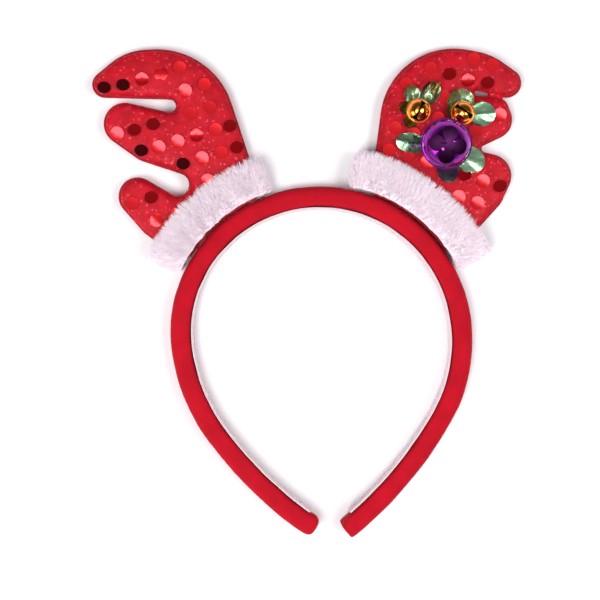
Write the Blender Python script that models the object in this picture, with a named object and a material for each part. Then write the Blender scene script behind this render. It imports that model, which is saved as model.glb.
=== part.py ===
"""Reindeer antler headband: a padded hoop, two padded antlers in plush cuffs, foil leaves and bells.

Metres, +Z up. The headband lies on its back: +Y runs from the hoop's free ends to the antlers.
Plane places are measured from the centre of the hoop's crown arc until the last step.
"""

import math
import random
from collections import namedtuple

import bmesh
import bpy
from mathutils import Matrix, Vector

# Hoop: a padded band bent through four arcs a side
HOOP_RADIUS = 0.0635
BAND_THICKNESS = 0.0094
BAND_DEPTH = 0.0125
BAND_INNER_ROUNDING = 0.0018
BAND_OUTER_ROUNDING = 0.0043
BAND_STEP = 0.0072
TIP_LENGTH = 0.0045
LINING_THICKNESS = 0.0009
LINING_WIDTH = 0.0096
LINING_END_DISTANCE = 0.0070
CLEARANCE = 0.0003

# Antlers: flat pads with a sewn rim
ANTLER_SPAN = 0.0567
ANTLER_RISE = 0.0789
ANTLER_THICKNESS = 0.0076
ANTLER_FOOT_ROUNDING = 0.0052
ANTLER_LIFT = 0.0005
RIM_WIDTH = 0.0010
RIM_THICKNESS = 0.0009
RIM_SHOULDER = 0.0002
PAD_ROLL = 0.0034

# Plush cuffs
CUFF_HEIGHT = 0.0172
CUFF_FRONT_PILE = 0.0062
CUFF_LOCK_LENGTH = 0.0046
CUFF_LOCK_RELIEF = 0.0011
CUFF_TUFT_REACH = 0.0012

# Foil leaves
FOIL_THICKNESS = 0.0004
FOIL_HUB_RADIUS = 0.0045
FOIL_REACH = 0.0212
FOIL_CURL = 0.0062

# Bells; the holes' latitudes are in degrees from the mouth's pole
PURPLE_RADIUS = 0.0105
PURPLE_WALL = 0.0006
PURPLE_RIM_REACH = 0.0007
PURPLE_SLOT_WIDTH = 0.0034
PURPLE_HOLE_DIAMETER = 0.0070
PURPLE_HOLE_LATITUDE = 32.0
PURPLE_LOOP_RADIUS = 0.0016
PURPLE_LOOP_WIRE = 0.0005
GOLD_RADIUS = 0.0050
GOLD_WALL = 0.0005
GOLD_RIM_REACH = 0.0004
GOLD_SLOT_WIDTH = 0.0010
GOLD_HOLE_DIAMETER = 0.0024
GOLD_HOLE_LATITUDE = 50.0
GOLD_LOOP_RADIUS = 0.0009
GOLD_LOOP_WIRE = 0.00035

# Arcs from the crown to a free end: radius as a share of HOOP_RADIUS, and sweep in degrees
Arc = namedtuple("Arc", "radius sweep")
ARM_LEFT = [
    Arc(radius=1.00, sweep=49.0),
    Arc(radius=0.93, sweep=47.5),
    Arc(radius=1.29, sweep=29.7),
    Arc(radius=2.76, sweep=20.4),
]
ARM_RIGHT = [
    Arc(radius=1.00, sweep=49.8),
    Arc(radius=1.03, sweep=44.5),
    Arc(radius=1.11, sweep=25.7),
    Arc(radius=2.85, sweep=21.0),
]

# Ends of the band: distance from the end as a share of TIP_LENGTH, and shares of the section
Tip = namedtuple("Tip", "back thickness depth")
TIP_LEFT = [
    Tip(back=1.00, thickness=1.00, depth=1.00),
    Tip(back=0.50, thickness=0.93, depth=0.95),
    Tip(back=0.16, thickness=0.72, depth=0.80),
    Tip(back=0.00, thickness=0.42, depth=0.56),
]
TIP_RIGHT = [
    Tip(back=1.00, thickness=1.00, depth=1.00),
    Tip(back=0.30, thickness=0.97, depth=0.96),
    Tip(back=0.07, thickness=0.88, depth=0.86),
    Tip(back=0.00, thickness=0.72, depth=0.70),
]

# Antler outline: circles that a belt runs round, from the inner edge over the top to the outer
# foot. across and up are shares of ANTLER_SPAN and ANTLER_RISE from the foot's middle, radius is
# a share of their geometric mean, and a notch has the belt on its inner side.
Bend = namedtuple("Bend", "name across up radius notch")
OUTLINE_LEFT = [
    Bend(name="shoulder", across=0.494, up=0.544, radius=0.528, notch=False),
    Bend(name="crest", across=0.566, up=0.658, radius=0.390, notch=False),
    Bend(name="top_tip", across=0.903, up=0.790, radius=0.088, notch=False),
    Bend(name="upper_notch", across=0.395, up=0.669, radius=0.043, notch=True),
    Bend(name="middle_tip", across=0.748, up=0.567, radius=0.142, notch=False),
    Bend(name="middle_underside", across=0.550, up=0.475, radius=0.151, notch=False),
    Bend(name="lower_notch", across=0.328, up=0.221, radius=0.075, notch=True),
    Bend(name="lower_tip", across=0.646, up=0.153, radius=0.129, notch=False),
    Bend(name="lower_underside", across=0.471, up=0.042, radius=0.154, notch=False),
]
OUTLINE_RIGHT = [
    Bend(name="shoulder", across=0.317, up=0.544, radius=0.495, notch=False),
    Bend(name="crest", across=0.420, up=0.603, radius=0.411, notch=False),
    Bend(name="top_tip", across=0.737, up=0.767, radius=0.097, notch=False),
    Bend(name="upper_notch", across=0.499, up=0.710, radius=0.015, notch=True),
    Bend(name="middle_corner", across=0.658, up=0.615, radius=0.081, notch=False),
    Bend(name="middle_tip", across=0.626, up=0.558, radius=0.130, notch=False),
    Bend(name="lower_notch", across=0.566, up=0.393, radius=0.024, notch=True),
    Bend(name="lower_tip", across=0.598, up=0.238, radius=0.148, notch=False),
    Bend(name="lower_underside", across=0.540, up=0.153, radius=0.151, notch=False),
]

# Feet and cuffs, in degrees round the crown from its top
Seat = namedtuple("Seat", "foot_inner foot_outer cuff_inner cuff_outer")
SEAT_LEFT = Seat(foot_inner=25.9, foot_outer=56.5, cuff_inner=17.2, cuff_outer=66.0)
SEAT_RIGHT = Seat(foot_inner=22.5, foot_outer=53.5, cuff_inner=10.0, cuff_outer=64.4)

# Padding's roll from the rim to the flat top: shares of PAD_ROLL and of the half thickness
Roll = namedtuple("Roll", "inset height")
PAD_ROLLS = [
    Roll(inset=0.00, height=0.42),
    Roll(inset=0.22, height=0.72),
    Roll(inset=0.55, height=0.92),
    Roll(inset=1.00, height=1.00),
]

# Cuff's levels from the hoop outwards: shares of CUFF_HEIGHT and of the pile's swell
Level = namedtuple("Level", "rise swell")
CUFF_LEVELS = [
    Level(rise=0.00, swell=0.62),
    Level(rise=0.16, swell=0.93),
    Level(rise=0.42, swell=1.00),
    Level(rise=0.70, swell=0.98),
    Level(rise=0.90, swell=0.80),
    Level(rise=1.00, swell=0.48),
]

# Lobes of a foil leaf: direction and half width in degrees, length from the hub's centre as a
# share of FOIL_REACH, and the tip's curl off the antler as a share of FOIL_CURL
Lobe = namedtuple("Lobe", "direction half_width length curl")
FOIL_LOWER_LOBES = [
    Lobe(direction=172.0, half_width=24.0, length=1.00, curl=0.19),
    Lobe(direction=-76.0, half_width=34.0, length=0.75, curl=0.16),
    Lobe(direction=-14.0, half_width=30.0, length=0.93, curl=0.26),
]
FOIL_UPPER_RIGHT_LOBES = [
    Lobe(direction=88.0, half_width=46.0, length=0.53, curl=0.35),
    Lobe(direction=4.0, half_width=38.0, length=0.71, curl=0.29),
    Lobe(direction=158.0, half_width=34.0, length=0.34, curl=0.19),
]
FOIL_UPPER_LEFT_LOBES = [
    Lobe(direction=58.0, half_width=30.0, length=0.71, curl=1.00),
    Lobe(direction=104.0, half_width=28.0, length=0.58, curl=0.55),
    Lobe(direction=160.0, half_width=30.0, length=0.42, curl=0.42),
    Lobe(direction=232.0, half_width=34.0, length=0.39, curl=0.29),
]
LOBE_FULLNESS = 0.55
CURL_POWER = 3

# Bells' places on the right antler: shares of ANTLER_SPAN and ANTLER_RISE from the foot's middle,
# tilt of the mouth towards the antlers' tips and turn of the slot, in degrees
Perch = namedtuple("Perch", "across up tilt turn")
PURPLE_PERCH = Perch(across=0.224, up=0.395, tilt=-9.0, turn=-9.0)
GOLD_RIGHT_PERCH = Perch(across=0.367, up=0.579, tilt=4.0, turn=-36.0)
GOLD_LEFT_PERCH = Perch(across=0.021, up=0.592, tilt=-6.0, turn=62.0)

# Bells' slots, rim and loop: shares of the bell's radius, of the rim's reach and of the loop's
# radius
SLOT_START = 0.2
SLOT_DEPTH = 1.2
RIM_HALF_WIDTH = 0.5
LOOP_STAND_OFF = 0.55

# Cuff's ends, hole and locks: shares of CUFF_FRONT_PILE, CUFF_HEIGHT, CUFF_LOCK_RELIEF and
# CUFF_TUFT_REACH
CUFF_END_TRIM = 0.6
CUFF_END_REACH = 0.8
CUFF_HOLE_TOP = 0.96
CUFF_LOCK_LEAST = 0.5
CUFF_LOCK_DIP = 0.35
CUFF_TUFT_DIP = 0.6

# Limits that keep roundings and the belt round the outline's circles sound
ROUNDING_LIMIT = 0.9
FOOT_STAND_OFF = 1.001
BELT_SLACK = 20.0
SEAT_MARGIN = 4.0
SMOOTH_ANGLE = 40.0

SEAT_SAMPLES = 80
EDGE_SAMPLES = 16
BASE_STEPS = 6
HOLE_SIDES = 12
PURPLE_SIDES = 20
GOLD_SIDES = 14
LOOP_SIDES = 10
WIRE_SIDES = 5
FOIL_SIDES = 36
FOIL_RINGS = (0.36, 0.70, 1.00)
ROUNDING_STEP = 24.0
SECTION_CORNER_STEPS = 3
CUFF_END_STEPS = 5
CUFF_HOLE_LEVELS = 2
TUFT_SEED = 7

ANTLER_MIDDLE = BAND_DEPTH / 2 + ANTLER_LIFT
ANTLER_FRONT = ANTLER_MIDDLE + ANTLER_THICKNESS / 2
FOIL_BACK = ANTLER_FRONT + CLEARANCE
BELL_SEAT = FOIL_BACK + FOIL_THICKNESS + CLEARANCE

COLOURS = {
    "red_velvet": ((0.58, 0.008, 0.025, 1.0), 0.85, 0.0),
    "pale_ribbon": ((0.72, 0.60, 0.60, 1.0), 0.7, 0.0),
    "red_glitter_cloth": ((0.60, 0.010, 0.025, 1.0), 0.4, 0.2),
    "white_plush": ((0.84, 0.78, 0.84, 1.0), 0.95, 0.0),
    "green_foil": ((0.08, 0.26, 0.09, 1.0), 0.18, 1.0),
    "purple_plated_metal": ((0.28, 0.01, 0.42, 1.0), 0.12, 1.0),
    "gold_plated_metal": ((0.85, 0.45, 0.08, 1.0), 0.14, 1.0),
}


def clear_scene():
    """Remove every object of the scene."""
    for item in list(bpy.data.objects):
        bpy.data.objects.remove(item, do_unlink=True)


def material(name):
    """Give the named material, made the first time that it is asked for."""
    found = bpy.data.materials.get(name)
    if found:
        return found
    colour, roughness, metallic = COLOURS[name]
    made = bpy.data.materials.new(name)
    made.use_nodes = True
    shader = made.node_tree.nodes["Principled BSDF"]
    shader.inputs["Base Color"].default_value = colour
    shader.inputs["Roughness"].default_value = roughness
    shader.inputs["Metallic"].default_value = metallic
    return made


def make_object(name, bm, material_name, parent):
    """Turn a bmesh into a named object under the headband's root."""
    bmesh.ops.recalc_face_normals(bm, faces=bm.faces)
    mesh = bpy.data.meshes.new(name)
    bm.to_mesh(mesh)
    bm.free()
    if material_name:
        mesh.materials.append(material(material_name))
    mesh.shade_smooth()
    mesh.set_sharp_from_angle(angle=math.radians(SMOOTH_ANGLE))
    item = bpy.data.objects.new(name, mesh)
    bpy.context.collection.objects.link(item)
    item.parent = parent
    return item


def skin_rings(bm, rings, closed=False):
    """Join rings of equal counts with quads, and cap the first and last unless closed."""
    made = [[bm.verts.new(point) for point in ring] for ring in rings]
    pairs = list(zip(made, made[1:]))
    if closed:
        pairs.append((made[-1], made[0]))
    for low, high in pairs:
        count = len(low)
        for index in range(count):
            after = (index + 1) % count
            bm.faces.new((low[index], low[after], high[after], high[index]))
    if not closed:
        bm.faces.new(list(reversed(made[0])))
        bm.faces.new(made[-1])


def arm_length(arcs):
    """Length of an arm's centreline from the crown to its free end."""
    return sum(HOOP_RADIUS * arc.radius * math.radians(arc.sweep) for arc in arcs)


def arm_place(arcs, side, distance):
    """Point and outward direction on an arm's centreline at a distance from the crown."""
    x, y, heading = 0.0, HOOP_RADIUS, 0.0
    left = distance
    for index, arc in enumerate(arcs):
        radius = HOOP_RADIUS * arc.radius
        sweep = math.radians(arc.sweep)
        last = index == len(arcs) - 1
        turn = left / radius if last else min(left / radius, sweep)
        x += radius * (math.sin(heading + turn) - math.sin(heading))
        y += radius * (math.cos(heading + turn) - math.cos(heading))
        heading += turn
        left -= turn * radius
        if left <= 1e-9:
            break
    return Vector((side * x, y, 0)), Vector((side * math.sin(heading), math.cos(heading), 0))


def stations(length, step, ends):
    """Distances along an arm, with half a step at the crown, so that one facet is centred."""
    count = max(2, round((length - ends - step / 2) / step))
    spread = (length - ends - step / 2) / count
    return [step / 2 + spread * index for index in range(count + 1)]


def band_section(thickness, depth):
    """Rounded section of the band: outward and upward places, from the section's middle."""
    half_t, half_d = thickness / 2, depth / 2
    most = ROUNDING_LIMIT * min(half_t, half_d)
    inner = min(BAND_INNER_ROUNDING, most) * thickness / BAND_THICKNESS
    outer = min(BAND_OUTER_ROUNDING, most) * thickness / BAND_THICKNESS
    corners = [
        (half_t - outer, -half_d + outer, outer, -90),
        (half_t - outer, half_d - outer, outer, 0),
        (-half_t + inner, half_d - inner, inner, 90),
        (-half_t + inner, -half_d + inner, inner, 180),
    ]
    points = []
    for out, up, radius, start in corners:
        for step in range(SECTION_CORNER_STEPS + 1):
            angle = math.radians(start + 90 * step / SECTION_CORNER_STEPS)
            points.append((out + radius * math.cos(angle), up + radius * math.sin(angle)))
    return points


def band_ring(arcs, side, distance, section, middle):
    """Section points in space at a distance along an arm."""
    place, outward = arm_place(arcs, side, distance)
    return [place + outward * out + Vector((0, 0, middle + up)) for out, up in section]


def build_cover(root):
    """Padded band with its two shaped ends."""
    rings = []
    for arcs, tips, side in ((ARM_LEFT, TIP_LEFT, -1), (ARM_RIGHT, TIP_RIGHT, 1)):
        length = arm_length(arcs)
        arm = []
        for distance in stations(length, BAND_STEP, TIP_LENGTH)[:-1]:
            section = band_section(BAND_THICKNESS, BAND_DEPTH)
            arm.append(band_ring(arcs, side, distance, section, BAND_DEPTH / 2))
        for tip in tips:
            section = band_section(BAND_THICKNESS * tip.thickness, BAND_DEPTH * tip.depth)
            distance = length - TIP_LENGTH * tip.back
            arm.append(band_ring(arcs, side, distance, section, BAND_DEPTH / 2))
        rings = list(reversed(arm)) if side < 0 else rings + arm
    bm = bmesh.new()
    skin_rings(bm, rings)
    return make_object("hoop_cover", bm, "red_velvet", root)


def build_lining(root):
    """Ribbon along the band's inner face."""
    outer = -BAND_THICKNESS / 2 - CLEARANCE
    inner = outer - LINING_THICKNESS
    half = LINING_WIDTH / 2
    section = [(outer, -half), (outer, half), (inner, half), (inner, -half)]
    rings = []
    for arcs, side in ((ARM_LEFT, -1), (ARM_RIGHT, 1)):
        distances = stations(arm_length(arcs), BAND_STEP, LINING_END_DISTANCE)
        arm = [band_ring(arcs, side, distance, section, BAND_DEPTH / 2) for distance in distances]
        rings = list(reversed(arm)) if side < 0 else rings + arm
    bm = bmesh.new()
    skin_rings(bm, rings)
    return make_object("hoop_lining", bm, "pale_ribbon", root)


def seat_radius(arcs, seat):
    """Radius round the crown's centre that clears the band everywhere under a cuff."""
    reach = HOOP_RADIUS
    length = arm_length(arcs)
    for index in range(SEAT_SAMPLES + 1):
        place, _ = arm_place(arcs, 1, length * index / SEAT_SAMPLES)
        angle = math.degrees(math.atan2(place.x, place.y))
        if angle <= seat.cuff_outer + SEAT_MARGIN:
            reach = max(reach, place.length)
    return reach + BAND_THICKNESS / 2 + CLEARANCE


def around_crown(radius, degrees):
    """Point at an angle from the crown's top, towards -X."""
    angle = math.radians(degrees)
    return Vector((-radius * math.sin(angle), radius * math.cos(angle), 0))


def antler_foot(arcs, seat):
    """Middle of an antler's foot on the hoop's outer edge, drawn as on the left side."""
    return around_crown(seat_radius(arcs, seat), (seat.foot_inner + seat.foot_outer) / 2)


def outline_circles(arcs, seat, bends):
    """Centres and signed radii of the belt's circles, drawn as on the left side."""
    base = seat_radius(arcs, seat)
    foot = antler_foot(arcs, seat)
    girth = math.sqrt(ANTLER_SPAN * ANTLER_RISE)
    corner = base + ANTLER_FOOT_ROUNDING * FOOT_STAND_OFF
    circles = [(around_crown(corner, seat.foot_inner), ANTLER_FOOT_ROUNDING)]
    for bend in bends:
        centre = foot + Vector((-bend.across * ANTLER_SPAN, bend.up * ANTLER_RISE, 0))
        radius = bend.radius * girth
        circles.append((centre, -radius if bend.notch else radius))
    circles.append((around_crown(corner, seat.foot_outer), ANTLER_FOOT_ROUNDING))
    circles.append((Vector((0, 0, 0)), -base))
    return circles


def belt_heading(start, end):
    """Heading of the straight run between two of the belt's circles."""
    (from_centre, from_radius), (to_centre, to_radius) = start, end
    gap = to_centre - from_centre
    lean = max(-1.0, min(1.0, (from_radius - to_radius) / gap.length))
    return math.atan2(gap.y, gap.x) + math.asin(lean)


def belt_outline(circles, inset):
    """Outline of the belt round the circles, set in by a distance that keeps its corners."""
    points = []
    count = len(circles)
    for index, (centre, radius) in enumerate(circles):
        arrive = belt_heading(circles[index - 1], circles[index])
        leave = belt_heading(circles[index], circles[(index + 1) % count])
        turn = (leave - arrive) % math.tau
        slack = math.radians(BELT_SLACK)
        if radius > 0 and turn > math.tau - slack:
            turn -= math.tau
        if radius < 0 and turn > slack:
            turn -= math.tau
        steps = max(1, math.ceil(abs(turn) / math.radians(ROUNDING_STEP)))
        if index == count - 1:
            steps = max(steps, BASE_STEPS)
        for step in range(steps + 1):
            heading = arrive + turn * step / steps
            right = Vector((math.sin(heading), -math.cos(heading), 0))
            points.append(centre + right * (radius - inset))
    return points


def mirrored(points, side):
    """Points drawn as on the left side, turned over for the right side."""
    return [Vector((-side * point.x, point.y, point.z)) for point in points]


def build_antler(name, arcs, seat, bends, side, root):
    """Flat pad with a rolled edge and a thin sewn rim."""
    circles = outline_circles(arcs, seat, bends)
    half = ANTLER_THICKNESS / 2
    rows = [(0.0, RIM_THICKNESS / 2), (RIM_WIDTH, RIM_THICKNESS / 2)]
    for roll in PAD_ROLLS:
        rows.append((RIM_WIDTH + RIM_SHOULDER + PAD_ROLL * roll.inset, half * roll.height))
    rings = []
    for direction, order in ((-1, reversed(rows)), (1, rows)):
        for inset, height in order:
            outline = mirrored(belt_outline(circles, inset), side)
            level = ANTLER_MIDDLE + direction * height
            rings.append([Vector((point.x, point.y, level)) for point in outline])
    bm = bmesh.new()
    skin_rings(bm, rings)
    return make_object(name, bm, "red_glitter_cloth", root)


def foot_reach(arcs, seat, bends):
    """Least and greatest angle round the crown that the antler takes inside its cuff."""
    outline = belt_outline(outline_circles(arcs, seat, bends), 0.0)
    top = seat_radius(arcs, seat) + CUFF_HEIGHT + CUFF_TUFT_REACH
    angles = []
    for index, point in enumerate(outline):
        before = outline[index - 1]
        for step in range(EDGE_SAMPLES + 1):
            place = before.lerp(point, step / EDGE_SAMPLES)
            if place.length <= top:
                angles.append(math.degrees(math.atan2(-place.x, place.y)))
    return min(angles), max(angles)


def cuff_loop(inner_angle, outer_angle, radius, low, high, end_reach, columns):
    """Loop round the antler's foot: front run, outer end, back run and inner end."""
    middle, half = (low + high) / 2, (high - low) / 2
    end_angle = math.degrees(end_reach / radius)
    start, stop = inner_angle + end_angle, outer_angle - end_angle
    points = []
    for index in range(columns + 1):
        points.append((start + (stop - start) * index / columns, high))
    for index in range(1, CUFF_END_STEPS):
        angle = math.pi * index / CUFF_END_STEPS
        points.append((stop + end_angle * math.sin(angle), middle + half * math.cos(angle)))
    for index in range(columns + 1):
        points.append((stop + (start - stop) * index / columns, low))
    for index in range(1, CUFF_END_STEPS):
        angle = math.pi * index / CUFF_END_STEPS
        points.append((start - end_angle * math.sin(angle), middle - half * math.cos(angle)))
    return points


def build_cuff(name, arcs, seat, bends, side, root):
    """Plush sleeve round an antler's foot, its pile in staggered locks, flat where it rests."""
    tufts = random.Random(TUFT_SEED + side)
    base = seat_radius(arcs, seat)
    hole_inner, hole_outer = foot_reach(arcs, seat, bends)
    slack = math.degrees(2 * CLEARANCE / base)
    span = math.radians(seat.cuff_outer - seat.cuff_inner) * (base + CUFF_HEIGHT / 2)
    columns = 2 * max(4, round(span / CUFF_LOCK_LENGTH))
    hole_low = ANTLER_MIDDLE - ANTLER_THICKNESS / 2 - CLEARANCE
    hole_high = ANTLER_MIDDLE + ANTLER_THICKNESS / 2 + CLEARANCE
    rings = []
    for order, level in enumerate(CUFF_LEVELS):
        radius = base + CUFF_HEIGHT * level.rise
        pile = CUFF_FRONT_PILE * level.swell
        high = hole_high + pile
        low = max(0.0, hole_low - hole_low * level.swell)
        trim = math.degrees(CUFF_FRONT_PILE * (1 - level.swell) * CUFF_END_TRIM / radius)
        loop = cuff_loop(seat.cuff_inner + trim, seat.cuff_outer - trim, radius, low, high,
                         CUFF_FRONT_PILE * CUFF_END_REACH, columns)
        ring = []
        for index, (angle, height) in enumerate(loop):
            raised = (index + order) % 2
            relief = CUFF_LOCK_RELIEF * (CUFF_LOCK_LEAST + tufts.random())
            relief *= 1 if raised else -CUFF_LOCK_DIP
            outward = 1 if height > ANTLER_MIDDLE else 0
            reach = 0.0
            if order == len(CUFF_LEVELS) - 1:
                reach = CUFF_TUFT_REACH * (tufts.random() if index % 2 else -CUFF_TUFT_DIP)
            place = around_crown(radius + reach, angle)
            place.z = max(0.0, height + relief * outward)
            ring.append(place)
        rings.append(mirrored(ring, side))
    for index in range(CUFF_HOLE_LEVELS + 1):
        radius = base + CUFF_HEIGHT * CUFF_HOLE_TOP * (1 - index / CUFF_HOLE_LEVELS)
        loop = cuff_loop(hole_inner - slack, hole_outer + slack, radius, hole_low, hole_high,
                         CLEARANCE, columns)
        ring = []
        for angle, height in loop:
            place = around_crown(radius, angle)
            place.z = height
            ring.append(place)
        rings.append(mirrored(ring, side))
    bm = bmesh.new()
    skin_rings(bm, rings, closed=True)
    return make_object(name, bm, "white_plush", root)


def perch_place(perch):
    """Point on the right antler's plane under a bell."""
    foot = antler_foot(ARM_RIGHT, SEAT_RIGHT)
    return Vector((-foot.x + perch.across * ANTLER_SPAN, foot.y + perch.up * ANTLER_RISE, 0))


def lobe_reach(lobes, degrees):
    """Radius of a foil leaf and curl of its edge in a direction from its hub."""
    reach, curl = FOIL_HUB_RADIUS, 0.0
    for lobe in lobes:
        away = abs((degrees - lobe.direction + 180) % 360 - 180) / lobe.half_width
        if away >= 1:
            continue
        swell = math.cos(away * math.pi / 2) ** LOBE_FULLNESS
        lobe_edge = FOIL_HUB_RADIUS + (lobe.length * FOIL_REACH - FOIL_HUB_RADIUS) * swell
        if lobe_edge > reach:
            reach = lobe_edge
            curl = lobe.curl * FOIL_CURL * swell
    return reach, curl


def build_foil(name, perch, lobes, root):
    """Thin foil leaf of rounded lobes, its tips curled off the antler."""
    middle = perch_place(perch)
    bm = bmesh.new()
    sheets = []
    for lift in (FOIL_BACK, FOIL_BACK + FOIL_THICKNESS):
        centre = bm.verts.new(middle + Vector((0, 0, lift)))
        rings = []
        for share in FOIL_RINGS:
            ring = []
            for index in range(FOIL_SIDES):
                degrees = 360 * index / FOIL_SIDES
                reach, curl = lobe_reach(lobes, degrees)
                angle = math.radians(degrees)
                place = Vector((math.cos(angle), math.sin(angle), 0)) * reach * share
                place.z = lift + curl * share ** CURL_POWER
                ring.append(bm.verts.new(middle + place))
            rings.append(ring)
        sheets.append((centre, rings))
    for centre, rings in sheets:
        for index in range(FOIL_SIDES):
            after = (index + 1) % FOIL_SIDES
            bm.faces.new((centre, rings[0][index], rings[0][after]))
            for low, high in zip(rings, rings[1:]):
                bm.faces.new((low[index], high[index], high[after], low[after]))
    back_edge, front_edge = sheets[0][1][-1], sheets[1][1][-1]
    for index in range(FOIL_SIDES):
        after = (index + 1) % FOIL_SIDES
        bm.faces.new((back_edge[index], back_edge[after], front_edge[after], front_edge[index]))
    return make_object(name, bm, "green_foil", root)


def add_ball(bm, radius, sides, rings, rim_reach):
    """Ball about the bell's axis, with a raised rim round its equator if rim_reach isn't 0."""
    levels = []
    for index in range(1, rings):
        angle = math.pi * index / rings - math.pi / 2
        levels.append((radius * math.cos(angle), radius * math.sin(angle)))
    if rim_reach:
        middle = len(levels) // 2
        edge, half = radius + rim_reach, rim_reach * RIM_HALF_WIDTH
        levels[middle:middle + 1] = [(radius, -half), (edge, -half), (edge, half), (radius, half)]
    made = []
    for reach, height in levels:
        ring = []
        for index in range(sides):
            angle = math.tau * index / sides
            ring.append(bm.verts.new((reach * math.cos(angle), reach * math.sin(angle), height)))
        made.append(ring)
    low_pole = bm.verts.new((0, 0, -radius))
    high_pole = bm.verts.new((0, 0, radius))
    faces = []
    for index in range(sides):
        after = (index + 1) % sides
        faces.append(bm.faces.new((low_pole, made[0][after], made[0][index])))
        faces.append(bm.faces.new((high_pole, made[-1][index], made[-1][after])))
        for low, high in zip(made, made[1:]):
            faces.append(bm.faces.new((low[index], low[after], high[after], high[index])))
    return faces


def cutter_object(name, bm, bell):
    """Hidden guide that a Boolean of the bell reads."""
    item = make_object(name, bm, None, bell)
    item.hide_render = True
    item.display_type = "WIRE"
    return item


def slot_cutter(name, bell, radius, slot_width, hole_diameter, hole_latitude, spokes):
    """Slots that meet at the mouth's pole, each with a round hole at its end."""
    spread = radius * math.sin(math.radians(hole_latitude))
    depth = radius * SLOT_DEPTH
    bars = max(1, spokes // 2)
    tools = []
    for index in range(bars):
        bar = bmesh.new()
        bmesh.ops.create_cube(bar, size=1.0)
        size = Matrix.Diagonal((2 * spread, slot_width, depth, 1))
        turn = Matrix.Rotation(math.pi * index / bars, 4, "Z")
        lift = Matrix.Translation((0, 0, depth / 2 + radius * SLOT_START))
        bmesh.ops.transform(bar, matrix=turn @ lift @ size, verts=bar.verts)
        tools.append(cutter_object(name + "_bar_" + str(index), bar, bell))
    for index in range(spokes):
        hole = bmesh.new()
        angle = math.tau * index / spokes
        latitude = math.radians(hole_latitude)
        tilt = Matrix.Rotation(angle, 4, "Z") @ Matrix.Rotation(latitude, 4, "Y")
        bmesh.ops.create_cone(hole, cap_ends=True, segments=HOLE_SIDES, radius1=hole_diameter / 2,
                              radius2=hole_diameter / 2, depth=radius)
        bmesh.ops.transform(hole, matrix=tilt @ Matrix.Translation((0, 0, radius)), verts=hole.verts)
        tools.append(cutter_object(name + "_hole_" + str(index), hole, bell))
    return tools


def loop_ring(name, bell, radius, loop_radius, wire):
    """Wire loop at the back pole that the bell is sewn on by."""
    bm = bmesh.new()
    rings = []
    for index in range(LOOP_SIDES):
        angle = math.tau * index / LOOP_SIDES
        ring = []
        for step in range(WIRE_SIDES):
            around = math.tau * step / WIRE_SIDES
            reach = loop_radius + wire * math.cos(around)
            height = reach * math.sin(angle) - radius - loop_radius * LOOP_STAND_OFF
            ring.append(Vector((reach * math.cos(angle), wire * math.sin(around), height)))
        rings.append(ring)
    skin_rings(bm, rings, closed=True)
    return cutter_object(name + "_loop_guide", bm, bell)


def boolean(bell, tool, operation):
    """Add a Boolean with another object to a bell."""
    cut = bell.modifiers.new(tool.name, "BOOLEAN")
    cut.object = tool
    cut.operation = operation
    cut.solver = "EXACT"


def build_bell(name, perch, radius, wall, rim_reach, slot_width, hole_diameter, hole_latitude,
               spokes, loop, finish, sides, root):
    """Hollow jingle bell with slots in its mouth, an equator rim and a sewing loop."""
    loop_radius, wire = loop
    bm = bmesh.new()
    add_ball(bm, radius, sides, sides // 2, rim_reach)
    inside = add_ball(bm, radius - wall, sides, sides // 2, 0.0)
    bmesh.ops.recalc_face_normals(bm, faces=bm.faces)
    mesh = bpy.data.meshes.new(name)
    for face in inside:
        face.normal_flip()
    bm.to_mesh(mesh)
    bm.free()
    mesh.materials.append(material(finish))
    mesh.shade_smooth()
    mesh.set_sharp_from_angle(angle=math.radians(SMOOTH_ANGLE))
    bell = bpy.data.objects.new(name, mesh)
    bpy.context.collection.objects.link(bell)
    bell.parent = root
    loop_reach = (1 + LOOP_STAND_OFF) * loop_radius + wire
    place = perch_place(perch)
    place.z = BELL_SEAT + loop_reach + radius
    bell.location = place
    tilt = Matrix.Rotation(math.radians(-perch.tilt), 3, "X")
    turn = Matrix.Rotation(math.radians(perch.turn), 3, "Z")
    bell.rotation_euler = (tilt @ turn).to_euler()
    for tool in slot_cutter(name, bell, radius, slot_width, hole_diameter, hole_latitude, spokes):
        boolean(bell, tool, "DIFFERENCE")
    boolean(bell, loop_ring(name, bell, radius, loop_radius, wire), "UNION")
    return bell


def centre_on_floor(root, pieces):
    """Move the whole headband so that its box stands on the origin by the middle of its base."""
    bpy.context.view_layer.update()
    graph = bpy.context.evaluated_depsgraph_get()
    corners = []
    for piece in pieces:
        shaped = piece.evaluated_get(graph)
        corners.extend(shaped.matrix_world @ vertex.co for vertex in shaped.data.vertices)
    lows = [min(corner[axis] for corner in corners) for axis in range(3)]
    highs = [max(corner[axis] for corner in corners) for axis in range(3)]
    root.location = (-(lows[0] + highs[0]) / 2, -(lows[1] + highs[1]) / 2, -lows[2])
    bpy.context.view_layer.update()


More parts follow.
